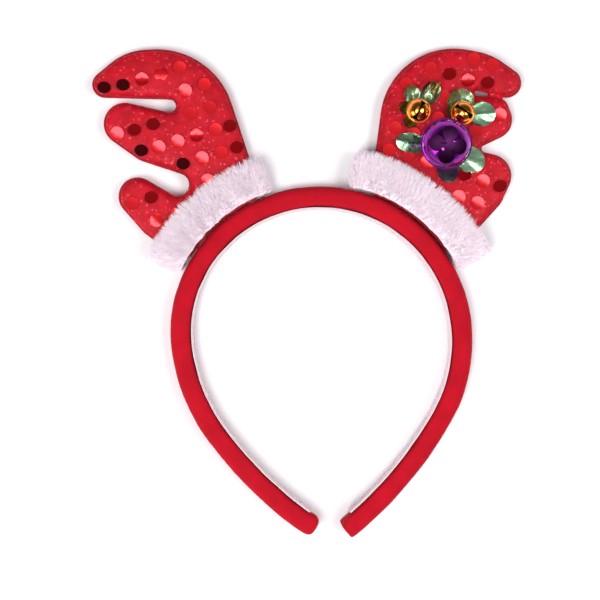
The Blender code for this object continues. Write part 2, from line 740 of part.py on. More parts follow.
def main():
    """Build every piece under one root and set it on the floor."""
    clear_scene()
    root = bpy.data.objects.new("headband", None)
    bpy.context.collection.objects.link(root)
    sides = (
        ("left", ARM_LEFT, SEAT_LEFT, OUTLINE_LEFT, -1),
        ("right", ARM_RIGHT, SEAT_RIGHT, OUTLINE_RIGHT, 1),
    )
    pieces = [build_cover(root), build_lining(root)]
    for word, arcs, seat, bends, side in sides:
        pieces.append(build_antler("antler_" + word, arcs, seat, bends, side, root))
        pieces.append(build_cuff("cuff_" + word, arcs, seat, bends, side, root))
    pieces.append(build_foil("foil_lower", PURPLE_PERCH, FOIL_LOWER_LOBES, root))
    pieces.append(build_foil("foil_upper_right", GOLD_RIGHT_PERCH, FOIL_UPPER_RIGHT_LOBES, root))
    pieces.append(build_foil("foil_upper_left", GOLD_LEFT_PERCH, FOIL_UPPER_LEFT_LOBES, root))
    pieces.append(build_bell("bell_purple", PURPLE_PERCH, PURPLE_RADIUS, PURPLE_WALL,
                             PURPLE_RIM_REACH, PURPLE_SLOT_WIDTH, PURPLE_HOLE_DIAMETER,
                             PURPLE_HOLE_LATITUDE, 4,
                             (PURPLE_LOOP_RADIUS, PURPLE_LOOP_WIRE), "purple_plated_metal",
                             PURPLE_SIDES, root))
    for word, perch in (("right", GOLD_RIGHT_PERCH), ("left", GOLD_LEFT_PERCH)):
        pieces.append(build_bell("bell_gold_" + word, perch, GOLD_RADIUS, GOLD_WALL,
                                 GOLD_RIM_REACH, GOLD_SLOT_WIDTH, GOLD_HOLE_DIAMETER,
                                 GOLD_HOLE_LATITUDE, 2,
                                 (GOLD_LOOP_RADIUS, GOLD_LOOP_WIRE), "gold_plated_metal",
                                 GOLD_SIDES, root))
    centre_on_floor(root, pieces)


main()
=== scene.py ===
"""Dresses the reindeer antler headband: velvet hoop, padded antlers, plush cuffs, foil and bells.

Metres, +Z up. The headband lies on its back and is seen from straight above.
"""

import logging
import math
from dataclasses import dataclass
from enum import Enum
from functools import cached_property
from typing import Any, Iterator, Sequence

import bmesh
import bpy
import numpy as np
from bmesh.types import BMEdge, BMesh, BMVert
from bpy.types import Material, Mesh, Node, NodeSocket, NodeTree, Object
from mathutils import Matrix, Vector, noise
from mathutils.bvhtree import BVHTree
from mathutils.kdtree import KDTree


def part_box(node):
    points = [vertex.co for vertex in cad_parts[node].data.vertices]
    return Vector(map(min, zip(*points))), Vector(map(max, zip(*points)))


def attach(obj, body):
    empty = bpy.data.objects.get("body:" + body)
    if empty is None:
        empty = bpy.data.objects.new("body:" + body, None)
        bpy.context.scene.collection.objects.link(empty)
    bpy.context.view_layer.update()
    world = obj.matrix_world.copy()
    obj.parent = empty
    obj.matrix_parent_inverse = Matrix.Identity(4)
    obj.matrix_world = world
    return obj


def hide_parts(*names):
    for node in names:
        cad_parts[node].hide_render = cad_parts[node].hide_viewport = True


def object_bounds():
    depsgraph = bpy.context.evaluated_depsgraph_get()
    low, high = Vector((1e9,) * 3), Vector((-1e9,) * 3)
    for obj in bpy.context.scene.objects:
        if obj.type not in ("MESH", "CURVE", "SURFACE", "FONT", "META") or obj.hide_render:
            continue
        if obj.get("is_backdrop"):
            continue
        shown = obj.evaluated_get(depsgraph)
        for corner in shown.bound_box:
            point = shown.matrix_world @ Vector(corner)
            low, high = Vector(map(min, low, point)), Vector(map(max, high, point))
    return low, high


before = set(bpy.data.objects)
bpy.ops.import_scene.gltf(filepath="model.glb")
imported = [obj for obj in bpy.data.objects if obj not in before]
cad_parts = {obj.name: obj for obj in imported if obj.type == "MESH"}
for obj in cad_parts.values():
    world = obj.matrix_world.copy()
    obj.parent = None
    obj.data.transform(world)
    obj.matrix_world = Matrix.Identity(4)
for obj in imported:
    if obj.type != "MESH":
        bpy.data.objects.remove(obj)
CAD_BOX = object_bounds()
LOG = logging.getLogger("headband")

MM = 0.001
Z_AXIS = Vector((0, 0, 1))

# Where the photograph was taken from: straight above, with the whole picture 270 mm wide
PICTURE_SIDE = 600
PICTURE_WIDTH = 0.270
CAMERA_HEIGHT = 0.620
CAMERA_DISTANCE = 0.614
CAMERA_PLACE = Vector((-0.00298, -0.00308, CAMERA_HEIGHT))

# Middle of the hoop's crown arc, which the hoop, the antlers' feet and the cuffs are laid out round
CROWN_CENTRE = Vector((0.005889, -0.020225, 0.0))
CLEARANCE = 0.0003
FLOOR_GAP = 0.0003
GLUE_GAP = 0.0001
MERGE_REACH = 1e-6
CUFF_HEIGHT = 0.0172

# Blender's wave texture repeats every pi/10 units at a scale of 1
WAVE_PERIOD = 0.314


class Side(Enum):
    """Side of the headband as the photograph shows it."""

    LEFT = -1
    RIGHT = 1

    @property
    def word(self) -> str:
        """Name of the side for a piece's name."""
        return self.name.lower()


@dataclass(frozen=True)
class Lay:
    """How a sewn sequin lies: the part of the room that it mirrors to the camera, and its bend.

    All are in degrees but the tone, which is 1 for the film's full colour and 0 for the dark red that paints
    a dark reflection into the film.
    """

    toward: float = 0.0
    off_zenith: float = 0.0
    bend: float = 2.0
    bend_way: float = 90.0
    tone: float = 1.0


class Gleam(Enum):
    """Looks that the sequins take."""

    PLAIN = Lay()
    # DARK and BLACK tones darken the film's colour as a painted dark reflection, on top of the dark that the
    # tilted film really mirrors
    BRIGHT = Lay(222.0, 14.0, 13.0, 60.0, tone=0.9)
    DARK = Lay(100.0, 42.0, tone=0.6)
    BLACK = Lay(80.0, 52.0, 3.0, tone=0.0)
    LIT_ABOVE = Lay(147.0, 18.0, 36.0)
    LIT_BELOW = Lay(147.0, 18.0, -24.0)
    LIT_CORNER = Lay(45.0, 4.0, -24.0, 45.0)


# The sequins on the back take these by chance, painted dark reflection of the DARK and BLACK tones included
BACK_GLEAMS = (Gleam.PLAIN, Gleam.BRIGHT, Gleam.DARK, Gleam.BLACK)


def room_way(toward: float, off_zenith: float) -> Vector:
    """Give the way to a part of the room, from its bearing and its angle off the zenith in degrees."""
    around, down = math.radians(toward), math.radians(off_zenith)
    return Vector((math.sin(down) * math.cos(around), math.sin(down) * math.sin(around), math.cos(down)))


def linear(code: str) -> tuple[float, float, float, float]:
    """Turn an sRGB hex colour into linear light.

    Args:
        code: six hex digits.

    Returns:
        Red, green, blue and alpha.
    """
    parts = [int(code[place : place + 2], 16) / 255 for place in (0, 2, 4)]
    light = [part / 12.92 if part <= 0.04045 else ((part + 0.055) / 1.055) ** 2.4 for part in parts]
    return (light[0], light[1], light[2], 1.0)


def add_node(
    tree: NodeTree,
    kind: str,
    settings: dict[Any, Any] | None = None,
    links: dict[Any, NodeSocket] | None = None,
) -> Node:
    """Add a node with its settings and links.

    Args:
        tree: node tree that gets it.
        kind: the node's type.
        settings: value for each input, by number or name, or for each property, by name.
        links: output that feeds each input, by number or name.

    Returns:
        The new node.
    """
    made = tree.nodes.new(kind)
    for key, value in (settings or {}).items():
        if isinstance(key, int) or key in made.inputs:
            made.inputs[key].default_value = value
        else:
            setattr(made, key, value)
    for key, source in (links or {}).items():
        tree.links.new(source, made.inputs[key])
    return made


def new_material(name: str, settings: dict[str, Any]) -> tuple[Material, NodeTree, Node]:
    """Start a material.

    Args:
        name: the real material's name.
        settings: values of the shader's own sockets.

    Returns:
        The material, its tree and its shader.
    """
    made = bpy.data.materials.new(name)
    made.use_nodes = True
    shader = made.node_tree.nodes["Principled BSDF"]
    for key, value in settings.items():
        shader.inputs[key].default_value = value
    return made, made.node_tree, shader


def mix_colours(tree: NodeTree, amount: NodeSocket, low: Any, high: Any) -> NodeSocket:
    """Mix two colours.

    Args:
        tree: node tree.
        amount: share of the second colour.
        low: first colour, a value or an output.
        high: second colour, a value or an output.

    Returns:
        The mixed colour.
    """
    colours = {6: low, 7: high}
    fixed = {key: value for key, value in colours.items() if not isinstance(value, NodeSocket)}
    fed = {key: value for key, value in colours.items() if isinstance(value, NodeSocket)}
    mixer = add_node(tree, "ShaderNodeMix", {"data_type": "RGBA", **fixed}, {0: amount, **fed})
    return mixer.outputs[2]


def span(tree: NodeTree, value: NodeSocket, start: float, stop: float, low: float, high: float) -> NodeSocket:
    """Map a value from one range to another.

    Args:
        tree: node tree.
        value: what is mapped.
        start: value that gives low.
        stop: value that gives high.
        low: first result.
        high: last result.

    Returns:
        The mapped value, held inside its range.
    """
    settings = {"From Min": start, "From Max": stop, "To Min": low, "To Max": high}
    return add_node(tree, "ShaderNodeMapRange", settings, {"Value": value}).outputs["Result"]


def noise_value(tree: NodeTree, size: float, detail: float, roughness: float = 0.5) -> NodeSocket:
    """Make noise that stays with the piece.

    Args:
        tree: node tree.
        size: size of its largest features in metres.
        detail: how many finer layers it has.
        roughness: how strong the finer layers are.

    Returns:
        The noise's value.
    """
    place = add_node(tree, "ShaderNodeTexCoord").outputs["Object"]
    settings = {"Scale": 1 / size, "Detail": detail, "Roughness": roughness}
    return add_node(tree, "ShaderNodeTexNoise", settings, {"Vector": place}).outputs[0]


def rib_value(
    tree: NodeTree, size: float, slant: float, distortion: float, detail: float, detail_scale: float
) -> NodeSocket:
    """Make ribs across a piece's chart, which is in metres.

    Args:
        tree: node tree.
        size: distance from rib to rib in metres.
        slant: turn of the ribs in degrees.
        distortion: how far they waver.
        detail: how many finer layers the wavering has.
        detail_scale: scale of those layers.

    Returns:
        The ribs' value.
    """
    chart = add_node(tree, "ShaderNodeUVMap", {"uv_map": "pile"}).outputs["UV"]
    turn = {"Rotation": (0, 0, math.radians(slant))}
    turned = add_node(tree, "ShaderNodeMapping", turn, {"Vector": chart}).outputs[0]
    settings = {
        "Scale": WAVE_PERIOD / size,
        "Distortion": distortion,
        "Detail": detail,
        "Detail Scale": detail_scale,
    }
    return add_node(tree, "ShaderNodeTexWave", settings, {"Vector": turned}).outputs[1]


def attribute_value(tree: NodeTree, name: str) -> NodeSocket:
    """Read a named value that the mesh holds for each vertex."""
    return add_node(tree, "ShaderNodeAttribute", {"attribute_name": name}).outputs["Fac"]


def scale_add(tree: NodeTree, value: NodeSocket, factor: float, extra: NodeSocket) -> NodeSocket:
    """Multiply a value by a factor and add another value.

    Args:
        tree: node tree.
        value: what is multiplied.
        factor: what it is multiplied by.
        extra: what is added.

    Returns:
        The sum.
    """
    settings = {"operation": "MULTIPLY_ADD", 1: factor}
    return add_node(tree, "ShaderNodeMath", settings, {0: value, 2: extra}).outputs[0]


def add_bump(tree: NodeTree, shader: Node, height: NodeSocket, strength: float, distance: float) -> None:
    """Let a height bend the light on a shader.

    Args:
        tree: node tree.
        shader: the shader that gets it.
        height: the height's value.
        strength: share of the effect.
        distance: how high a value of 1 stands, in metres.
    """
    bump = add_node(tree, "ShaderNodeBump", {"Strength": strength, "Distance": distance}, {"Height": height})
    tree.links.new(bump.outputs[0], shader.inputs["Normal"])


def paint(tree: NodeTree, shader: Node, amount: NodeSocket, low: Any, high: Any) -> None:
    """Colour a shader by a mix of two colours.

    Args:
        tree: node tree.
        shader: the shader that gets it.
        amount: share of the second colour.
        low: first colour, a value or an output.
        high: second colour, a value or an output.
    """
    tree.links.new(mix_colours(tree, amount, low, high), shader.inputs["Base Color"])


@dataclass(frozen=True)
class RibbedVelvet:
    """Short-pile polyester velvet over foam: matt, with a fine slanting rib and paler grazing edges."""

    name: str = "ribbed_polyester_velvet"
    deep: str = "A40A1C"
    bright: str = "B60C20"
    sheen: str = "F0808C"
    rib: float = 1.3 * MM
    rib_slant: float = 32.0
    rib_share: float = 0.12
    mottle: float = 9.0 * MM
    pile: float = 0.5 * MM
    relief: float = 0.05 * MM

    def material(self) -> Material:
        """Build the velvet.

        Returns:
            The material.
        """
        looks = {"Roughness": 0.85, "Specular IOR Level": 0.12, "Sheen Weight": 0.05, "Sheen Roughness": 0.4}
        looks["Sheen Tint"] = linear(self.sheen)
        made, tree, shader = new_material(self.name, looks)
        rib = rib_value(tree, self.rib, self.rib_slant, distortion=1.2, detail=2.0, detail_scale=1.5)
        shade = scale_add(tree, rib, self.rib_share, noise_value(tree, self.mottle, 5.0))
        amount = span(tree, shade, 0.35, 0.75, 0.0, 1.0)
        paint(tree, shader, amount, linear(self.deep), linear(self.bright))
        height = scale_add(tree, noise_value(tree, self.pile, 3.0), 0.5, rib)
        add_bump(tree, shader, height, 0.25, self.relief)
        return made


@dataclass(frozen=True)
class GrosgrainRibbon:
    """Woven polyester ribbon: pale, softly shiny, with cross ribs a millimetre apart."""

    name: str = "polyester_grosgrain_ribbon"
    base: str = "DCC6CA"
    shadow: str = "CDB4B9"
    rib: float = 1.0 * MM
    relief: float = 0.15 * MM

    def material(self) -> Material:
        """Build the ribbon's weave.

        Returns:
            The material.
        """
        made, tree, shader = new_material(self.name, {"Roughness": 0.55, "Sheen Weight": 0.2})
        rib = rib_value(tree, self.rib, slant=0.0, distortion=0.4, detail=1.0, detail_scale=1.0)
        paint(tree, shader, rib, linear(self.shadow), linear(self.base))
        add_bump(tree, shader, rib, 0.6, self.relief)
        return made


@dataclass(frozen=True)
class LurexKnit:
    """Warp knit with a metallised yarn: red ground with pin-point pinkish flecks, partly metallic and partly
    a painted glint.
    """

    name: str = "red_lurex_knit"
    deep: str = "A20A1A"
    bright: str = "BE0E22"
    painted_glint_fleck: str = "D84450"
    mottle: float = 6.0 * MM
    grain: float = 0.85 * MM
    weave: float = 0.7 * MM
    relief: float = 0.12 * MM
    dull: float = 0.0

    def material(self) -> Material:
        """Build the knit with its flecks.

        Returns:
            The material.
        """
        looks = {"Sheen Weight": 0.03, "Sheen Roughness": 0.4, "Specular IOR Level": 0.15}
        made, tree, shader = new_material(self.name, looks)
        place = add_node(tree, "ShaderNodeTexCoord").outputs["Object"]
        grains = {"Scale": 1 / self.grain, "Randomness": 1.0}
        cells = add_node(tree, "ShaderNodeTexVoronoi", grains, {"Vector": place})
        luck = add_node(tree, "ShaderNodeSeparateColor", {}, {0: cells.outputs["Color"]})
        mottle = span(tree, noise_value(tree, self.mottle, 6.0, 0.62), 0.36, 0.62, 0.0, 1.0)
        ground = mix_colours(tree, mottle, linear(self.deep), linear(self.bright))
        # The flecks' paler pink is a painted glint on the metallised yarn, which also gets some metallic
        # below
        sparkle = span(tree, luck.outputs[0], 0.92 + self.dull, 0.99 + self.dull, 0.0, 1.0)
        paint(tree, shader, sparkle, ground, linear(self.painted_glint_fleck))
        tree.links.new(span(tree, luck.outputs[1], 0.4, 1.0, 0.62, 0.3), shader.inputs["Roughness"])
        tree.links.new(span(tree, luck.outputs[0], 0.8, 1.0, 0.0, 0.3), shader.inputs["Metallic"])
        height = scale_add(tree, luck.outputs[1], 0.8, noise_value(tree, self.weave, 2.0))
        add_bump(tree, shader, height, 0.35, self.relief)
        return made


@dataclass(frozen=True)
class SequinFilm:
    """Punched red PET sequin: vacuum-metallised film, which mirrors the room in red."""

    name: str = "metallised_pet_sequin"
    base: str = "DE141E"
    # Dark red painted in where a sequin should look as if it mirrored the dark of the room
    painted_dark_reflection: str = "5C0A12"
    ripple: float = 3.0 * MM
    relief: float = 0.08 * MM

    def material(self) -> Material:
        """Build the sequins' film.

        Returns:
            The material.
        """
        looks = {"Metallic": 0.65, "Roughness": 0.2, "Coat Weight": 0.05, "Coat Roughness": 0.1}
        made, tree, shader = new_material(self.name, looks)
        # The tone mixes the film towards the dark red: painted dark reflection, with a small random spread
        paint(tree, shader, attribute_value(tree, "tone"), linear(self.painted_dark_reflection), linear(self.base))
        add_bump(tree, shader, noise_value(tree, self.ripple, 1.0), 0.2, self.relief)
        return made


@dataclass(frozen=True)
class WhitePlush:
    """Polyester plush: loose white pile, matt and faintly lilac, painted darker towards the roots as shade in
    the pile.
    """

    name: str = "white_polyester_plush"
    # The root colour is the tip's, darkened as painted shade deep in the pile
    tip: str = "F6E9F1"
    root: str = "F1E0EA"
    mottle: float = 5.0 * MM

    def material(self) -> Material:
        """Build the pile's fibre.

        Returns:
            The material.
        """
        looks = {"Roughness": 0.8, "Sheen Weight": 0.9, "Sheen Roughness": 0.5}
        made, tree, shader = new_material(self.name, looks)
        # share runs from 0 at a root to 1 at a tip: painted shade towards the roots, with random tone and
        # mottle
        shade = scale_add(tree, attribute_value(tree, "share"), 0.55, noise_value(tree, self.mottle, 4.0))
        amount = span(tree, shade, 0.35, 1.0, 0.0, 1.0)
        paint(tree, shader, amount, linear(self.root), linear(self.tip))
        return made


@dataclass(frozen=True)
class MetalFinish:
    """Bright metal skin, plated on brass or laid on film: a tinted mirror with slight waviness."""

    name: str
    base: str
    shade: str
    roughness: float
    wave: float
    relief: float
    blotch: float = 0.35
    # Darker colour for a shell's inside: painted shade in the hollow
    inner: str = "1A0E16"

    def material(self) -> Material:
        """Build the mirror with its waviness; a shell's inside gets a darker colour, painted shade in its
        hollow, and more roughness.

        Returns:
            The material.
        """
        made, tree, shader = new_material(self.name, {"Metallic": 1.0})
        blotch = noise_value(tree, 2.6 * self.wave, 4.0)
        amount = span(tree, blotch, 0.5 - self.blotch, 0.5 + self.blotch, 0.0, 1.0)
        skin = mix_colours(tree, amount, linear(self.shade), linear(self.base))
        inside = attribute_value(tree, "inside")
        paint(tree, shader, inside, skin, linear(self.inner))
        rough = span(tree, blotch, 0.3, 0.7, self.roughness * 0.7, self.roughness * 1.4)
        tree.links.new(scale_add(tree, inside, 0.5, rough), shader.inputs["Roughness"])
        add_bump(tree, shader, noise_value(tree, self.wave, 3.0, 0.45), 1.0, self.relief)
        return made


# Green metallised film, creased by hand
GREEN_FOIL = MetalFinish("green_metallised_film", "A2CCA0", "74987A", 0.20, 5.0 * MM, 0.30 * MM)
# Brass plated and lacquered purple, stamped and tumbled, so almost a clean mirror
PURPLE_PLATING = MetalFinish(
    "purple_lacquered_plating", "96289C", "6C1A7C", 0.12, 5.0 * MM, 0.22 * MM, inner="6E3470"
)
# Brass plated gold, stamped thin
GOLD_PLATING = MetalFinish("gold_plated_brass", "FFA84A", "F08838", 0.14, 2.4 * MM, 0.07 * MM, inner="4A2A12")


def new_piece(name: str, mesh: Mesh) -> Object:
    """Add an object at the origin.

    Args:
        name: the piece's name.
        mesh: its mesh, already in place.

    Returns:
        The object.
    """
    made = bpy.data.objects.new(name, mesh)
    bpy.context.scene.collection.objects.link(made)
    return made


def to_piece(name: str, bm: BMesh, turn_outwards: bool = True) -> Object:
    """Turn a bmesh into an object with smooth shading.

    Args:
        name: the piece's name.
        bm: its shape, which is freed.
        turn_outwards: whether doubles are merged and the normals worked out again.

    Returns:
        The object.
    """
    if turn_outwards:
        bmesh.ops.remove_doubles(bm, verts=bm.verts, dist=MERGE_REACH)
        bmesh.ops.recalc_face_normals(bm, faces=bm.faces)
    mesh = bpy.data.meshes.new(name)
    bm.to_mesh(mesh)
    bm.free()
    mesh.shade_smooth()
    mesh.set_sharp_from_angle(angle=math.radians(42))
    return new_piece(name, mesh)


def apply_modifiers(piece: Object) -> None:
    """Keep a piece's evaluated mesh and drop its modifiers.

    Args:
        piece: the object.
    """
    graph = bpy.context.evaluated_depsgraph_get()
    shaped = bpy.data.meshes.new_from_object(piece.evaluated_get(graph))
    piece.modifiers.clear()
    old = piece.data
    piece.data = shaped
    bpy.data.meshes.remove(old)


def only(geometry: Sequence[Any], kind: type) -> list[Any]:
    """Pick the elements of one kind from a bmesh operator's result."""
    return [item for item in geometry if isinstance(item, kind)]


def edges_round(ring: Sequence[BMVert]) -> list[BMEdge]:
    """List each edge that meets a ring's vertices once, in an order that is the same each run."""
    return list(dict.fromkeys(edge for vertex in ring for edge in vertex.link_edges))


def thicken(bm: BMesh, faces: Sequence[Any], height: float) -> None:
    """Raise a copy of flat faces over them, with walls between.

    Args:
        bm: mesh that holds the faces.
        faces: what is raised.
        height: how far up.
    """
    raised = bmesh.ops.extrude_face_region(bm, geom=faces, use_keep_orig=True)["geom"]
    bmesh.ops.translate(bm, vec=Z_AXIS * height, verts=only(raised, BMVert))


def points_of(mesh: Mesh) -> np.ndarray:
    """Read a mesh's points.

    Args:
        mesh: the mesh.

    Returns:
        An array with a row for each point.
    """
    flat = np.empty(len(mesh.vertices) * 3)
    mesh.vertices.foreach_get("co", flat)
    return flat.reshape(-1, 3)


def put_points(mesh: Mesh, points: np.ndarray) -> None:
    """Write a mesh's points back from an array."""
    mesh.vertices.foreach_set("co", points.ravel())
    mesh.update()


def finish_piece(piece: Object, material: Material, slot: str, nodes: Sequence[str] = ()) -> None:
    """Give a piece its material, its body and the CAD nodes that it stands for.

    Args:
        piece: the object.
        material: its finish.
        slot: not used.
        nodes: CAD nodes that it replaces.
    """
    piece.data.materials.clear()
    piece.data.materials.append(material)
    if nodes:
        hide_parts(*nodes)
    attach(piece, "root")
    LOG.info("%s: %d faces", piece.name, len(piece.data.polygons))


def photo_place(across: float, down: float, height: float) -> Vector:
    """Find the place at a height that the photograph shows at a point.

    Args:
        across: pixels from the picture's left edge.
        down: pixels from its top edge.
        height: height over the floor.

    Returns:
        The place.
    """
    scale = PICTURE_WIDTH / PICTURE_SIDE * (CAMERA_HEIGHT - height) / CAMERA_DISTANCE
    middle = PICTURE_SIDE / 2
    x = CAMERA_PLACE.x + (across - middle) * scale
    y = CAMERA_PLACE.y + (middle - down) * scale
    return Vector((x, y, height))


@dataclass(frozen=True)
class Arc:
    """A bend of the hoop: radius as a share of the crown's, and sweep in degrees."""

    radius: float
    sweep: float


@dataclass(frozen=True)
class Stretch:
    """An arc laid out in place: its centre, radius, first heading, turn and distance from the crown."""

    centre: Vector
    radius: float
    heading: float
    turn: float
    distance: float


@dataclass(frozen=True)
class Tip:
    """A section near a free end: distance back as a share of the tip, and shares of the section.

    The tuck folds the upper inner edge outwards, by a share of the thickness.
    """

    back: float
    thickness: float
    depth: float
    tuck: float = 0.0


@dataclass
class Hoop:
    """Velvet hoop over a springy strip, with a pale ribbon along its inner face."""

    radius: float = 0.0635
    thickness: float = 0.0094
    depth: float = 0.0125
    ribbon_width: float = 0.0096
    ribbon_cut: float = 0.0100
    ribbon_thickness: float = 0.0009
    ribbon_short: float = 0.0070
    ribbon_fullness: float = 0.25
    tip_length: float = 0.0045
    ring_step: float = 0.0016
    section_sides: int = 36
    dent: float = 0.00028
    cap_inset: float = 0.12
    cap_rise: float = 0.0002
    outer_fullness: float = 0.78
    inner_fullness: float = 0.40
    arcs_left: tuple[Arc, ...] = (Arc(1.00, 49.0), Arc(0.93, 47.5), Arc(1.29, 29.7), Arc(2.76, 20.4))
    arcs_right: tuple[Arc, ...] = (Arc(1.00, 49.8), Arc(1.03, 44.5), Arc(1.11, 25.7), Arc(2.85, 21.0))
    tips_left: tuple[Tip, ...] = (
        Tip(0.75, 0.985, 0.99),
        Tip(0.45, 0.93, 0.95),
        Tip(0.20, 0.79, 0.84),
        Tip(0.05, 0.57, 0.66),
        Tip(0.00, 0.36, 0.48),
    )
    tips_right: tuple[Tip, ...] = (
        Tip(0.85, 1.00, 1.00, 0.06),
        Tip(0.60, 0.995, 0.99, 0.14),
        Tip(0.30, 0.985, 0.97, 0.22),
        Tip(0.10, 0.95, 0.93, 0.27),
        Tip(0.02, 0.89, 0.86, 0.28),
        Tip(0.00, 0.80, 0.76, 0.28),
    )

    @property
    def middle(self) -> float:
        """Height of the hoop's middle over the floor."""
        return self.depth / 2

    def stretches(self, side: Side) -> Iterator[Stretch]:
        """Lay the arcs of an arm end to end from the crown.

        Args:
            side: which arm.

        Yields:
            Each arc in place.
        """
        place, heading, distance = Vector((0, self.radius, 0)), 0.0, 0.0
        for arc in self.arcs_left if side is Side.LEFT else self.arcs_right:
            radius, turn = self.radius * arc.radius, math.radians(arc.sweep)
            centre = place - self.outward(side, heading) * radius
            yield Stretch(centre, radius, heading, turn, distance)
            heading += turn
            distance += radius * turn
            place = centre + self.outward(side, heading) * radius

    @staticmethod
    def outward(side: Side, heading: float) -> Vector:
        """Direction away from the head at a heading along an arm."""
        return Vector((side.value * math.sin(heading), math.cos(heading), 0))

    def length(self, side: Side) -> float:
        """Length of an arm from the crown to its free end."""
        return sum(stretch.radius * stretch.turn for stretch in self.stretches(side))

    def chart(self, point: Vector) -> tuple[float, float]:
        """Find where a point lies along and across the hoop.

        Args:
            point: place about the crown's centre.

        Returns:
            Distance along the arm from the crown, and outward from the arm's middle line.
        """
        sides = [Side.LEFT if point.x < 0 else Side.RIGHT]
        if point.y < 0 and abs(point.x) < 2 * self.thickness:
            sides = list(Side)
        return min((self.chart_arm(side, point) for side in sides), key=lambda spot: abs(spot[1]))

    def chart_arm(self, side: Side, point: Vector) -> tuple[float, float]:
        """Find where a point lies along and across one arm.

        Args:
            side: which arm.
            point: place about the crown's centre.

        Returns:
            Distance along the arm, which is negative on the left, and outward from its middle line.
        """
        along = out = 0.0
        for stretch in self.stretches(side):
            away = point - stretch.centre
            heading = math.atan2(side.value * away.x, away.y)
            along = stretch.distance + stretch.radius * (heading - stretch.heading)
            out = math.hypot(away.x, away.y) - stretch.radius
            if heading <= stretch.heading + stretch.turn:
                break
        return side.value * along, out

    def spin_arm(self, bm: BMesh, section: list, side: Side, stop: float) -> list:
        """Carry a section from the crown along an arm.

        Args:
            bm: mesh that holds the section.
            section: its vertices and edges, at the crown.
            side: which arm.
            stop: distance from the crown at which to stop.

        Returns:
            Vertices and edges of the last section.
        """
        for stretch in self.stretches(side):
            turn = min(stretch.turn, (stop - stretch.distance) / stretch.radius)
            steps = max(1, round(turn * stretch.radius / self.ring_step))
            spun = bmesh.ops.spin(
                bm,
                geom=section,
                cent=stretch.centre,
                axis=Z_AXIS,
                angle=-side.value * turn,
                steps=steps,
            )
            section = spun["geom_last"]
        return section

    def section_place(self, angle: float, thickness: float, depth: float) -> tuple[float, float]:
        """Give a point of the padded section.

        Args:
            angle: place round the section, 0 on its outer side.
            thickness: how thick the section is, across the head.
            depth: how deep it is, from the floor up.

        Returns:
            Outward and upward place from the section's middle.
        """
        across, up = math.cos(angle), math.sin(angle)
        fullness = self.outer_fullness if across > 0 else self.inner_fullness
        out = math.copysign(abs(across) ** fullness, across) * thickness / 2
        rise = math.copysign(abs(up) ** fullness, up) * depth / 2
        return out, rise

    def cover_arm(self, bm: BMesh, side: Side, tips: Sequence[Tip]) -> None:
        """Make the velvet over one arm.

        Args:
            bm: mesh that gets it.
            side: which arm.
            tips: sections at its free end.
        """
        ring = bmesh.ops.create_circle(bm, segments=self.section_sides, radius=1.0)["verts"]
        angles = [math.atan2(vertex.co.y, vertex.co.x) for vertex in ring]
        for vertex, angle in zip(ring, angles):
            out, up = self.section_place(angle, self.thickness, self.depth)
            vertex.co = (0, self.radius + out, up)
        edges = edges_round(ring)
        stop = self.length(side) - self.tip_length
        last = self.spin_arm(bm, ring + edges, side, stop)
        end = list(self.stretches(side))[-1]
        full = self.length(side)
        seats = {
            vertex: self.section_angle((vertex.co - end.centre).xy.length - end.radius, vertex.co.z)
            for vertex in only(last, BMVert)
        }
        for tip in tips:
            rim = only(last, BMEdge)
            last = bmesh.ops.extrude_edge_only(bm, edges=rim)["geom"]
            heading = end.heading + (full - self.tip_length * tip.back - end.distance) / end.radius
            outward = self.outward(side, heading)
            place = end.centre + outward * end.radius
            fresh = {}
            for vertex in only(last, BMVert):
                twins = [edge.other_vert(vertex) for edge in vertex.link_edges]
                angle = fresh[vertex] = next(seats[twin] for twin in twins if twin in seats)
                reach, up = self.section_place(angle, self.thickness * tip.thickness, self.depth * tip.depth)
                folded = max(0.0, -math.cos(angle)) * max(0.0, 0.35 + math.sin(angle)) * tip.tuck
                vertex.co = place + outward * (reach + folded * self.thickness) + Z_AXIS * up
            seats = fresh
        rim = only(last, BMEdge)
        cap = bmesh.ops.edgeloop_fill(bm, edges=rim)["faces"]
        bmesh.ops.inset_region(bm, faces=cap, thickness=self.thickness * self.cap_inset, depth=self.cap_rise)

    def section_angle(self, out: float, up: float) -> float:
        """Find the angle round the section of a place on it, undoing its fullness.

        Args:
            out: outward place from the section's middle.
            up: upward place from it.

        Returns:
            The angle, 0 on the outer side.
        """
        across, rise = 2 * out / self.thickness, 2 * up / self.depth
        fullness = self.outer_fullness if across > 0 else self.inner_fullness
        across = math.copysign(abs(across) ** (1 / fullness), across)
        rise = math.copysign(abs(rise) ** (1 / fullness), rise)
        return math.atan2(rise, across)

    def lay_chart(self, piece: Object) -> None:
        """Give a piece a chart in metres: along the hoop and round its section.

        Args:
            piece: the velvet or the ribbon, in place.
        """
        mesh = piece.data
        girth = math.pi * (self.thickness + self.depth) / 2
        spots = []
        for vertex in mesh.vertices:
            along, out = self.chart(vertex.co - CROWN_CENTRE)
            angle = math.atan2((vertex.co.z - self.middle) / self.depth, out / self.thickness)
            spots.append((along, angle / math.tau * girth))
        chart = mesh.uv_layers.new(name="pile")
        for face in mesh.polygons:
            first = spots[mesh.loops[face.loop_start].vertex_index][1]
            for corner in face.loop_indices:
                along, around = spots[mesh.loops[corner].vertex_index]
                around += girth * round((first - around) / girth)
                chart.data[corner].uv = (along, around)

    def soften(self, bm: BMesh) -> None:
        """Press shallow dents into the padding.

        Args:
            bm: the cover, about the crown's centre.
        """
        for vertex in bm.verts:
            along, out = self.chart(vertex.co)
            away = Vector((vertex.co.x, vertex.co.y, 0)).normalized()
            slow = noise.noise(Vector((along * 70, out * 160, vertex.co.z * 160)))
            quick = noise.noise(Vector((along * 260, out * 300, vertex.co.z * 300)))
            push = self.dent * (slow + 0.4 * quick - 0.35)
            lean = out / (self.thickness / 2)
            vertex.co += away * push * lean + Z_AXIS * push * vertex.co.z / (self.depth / 2)

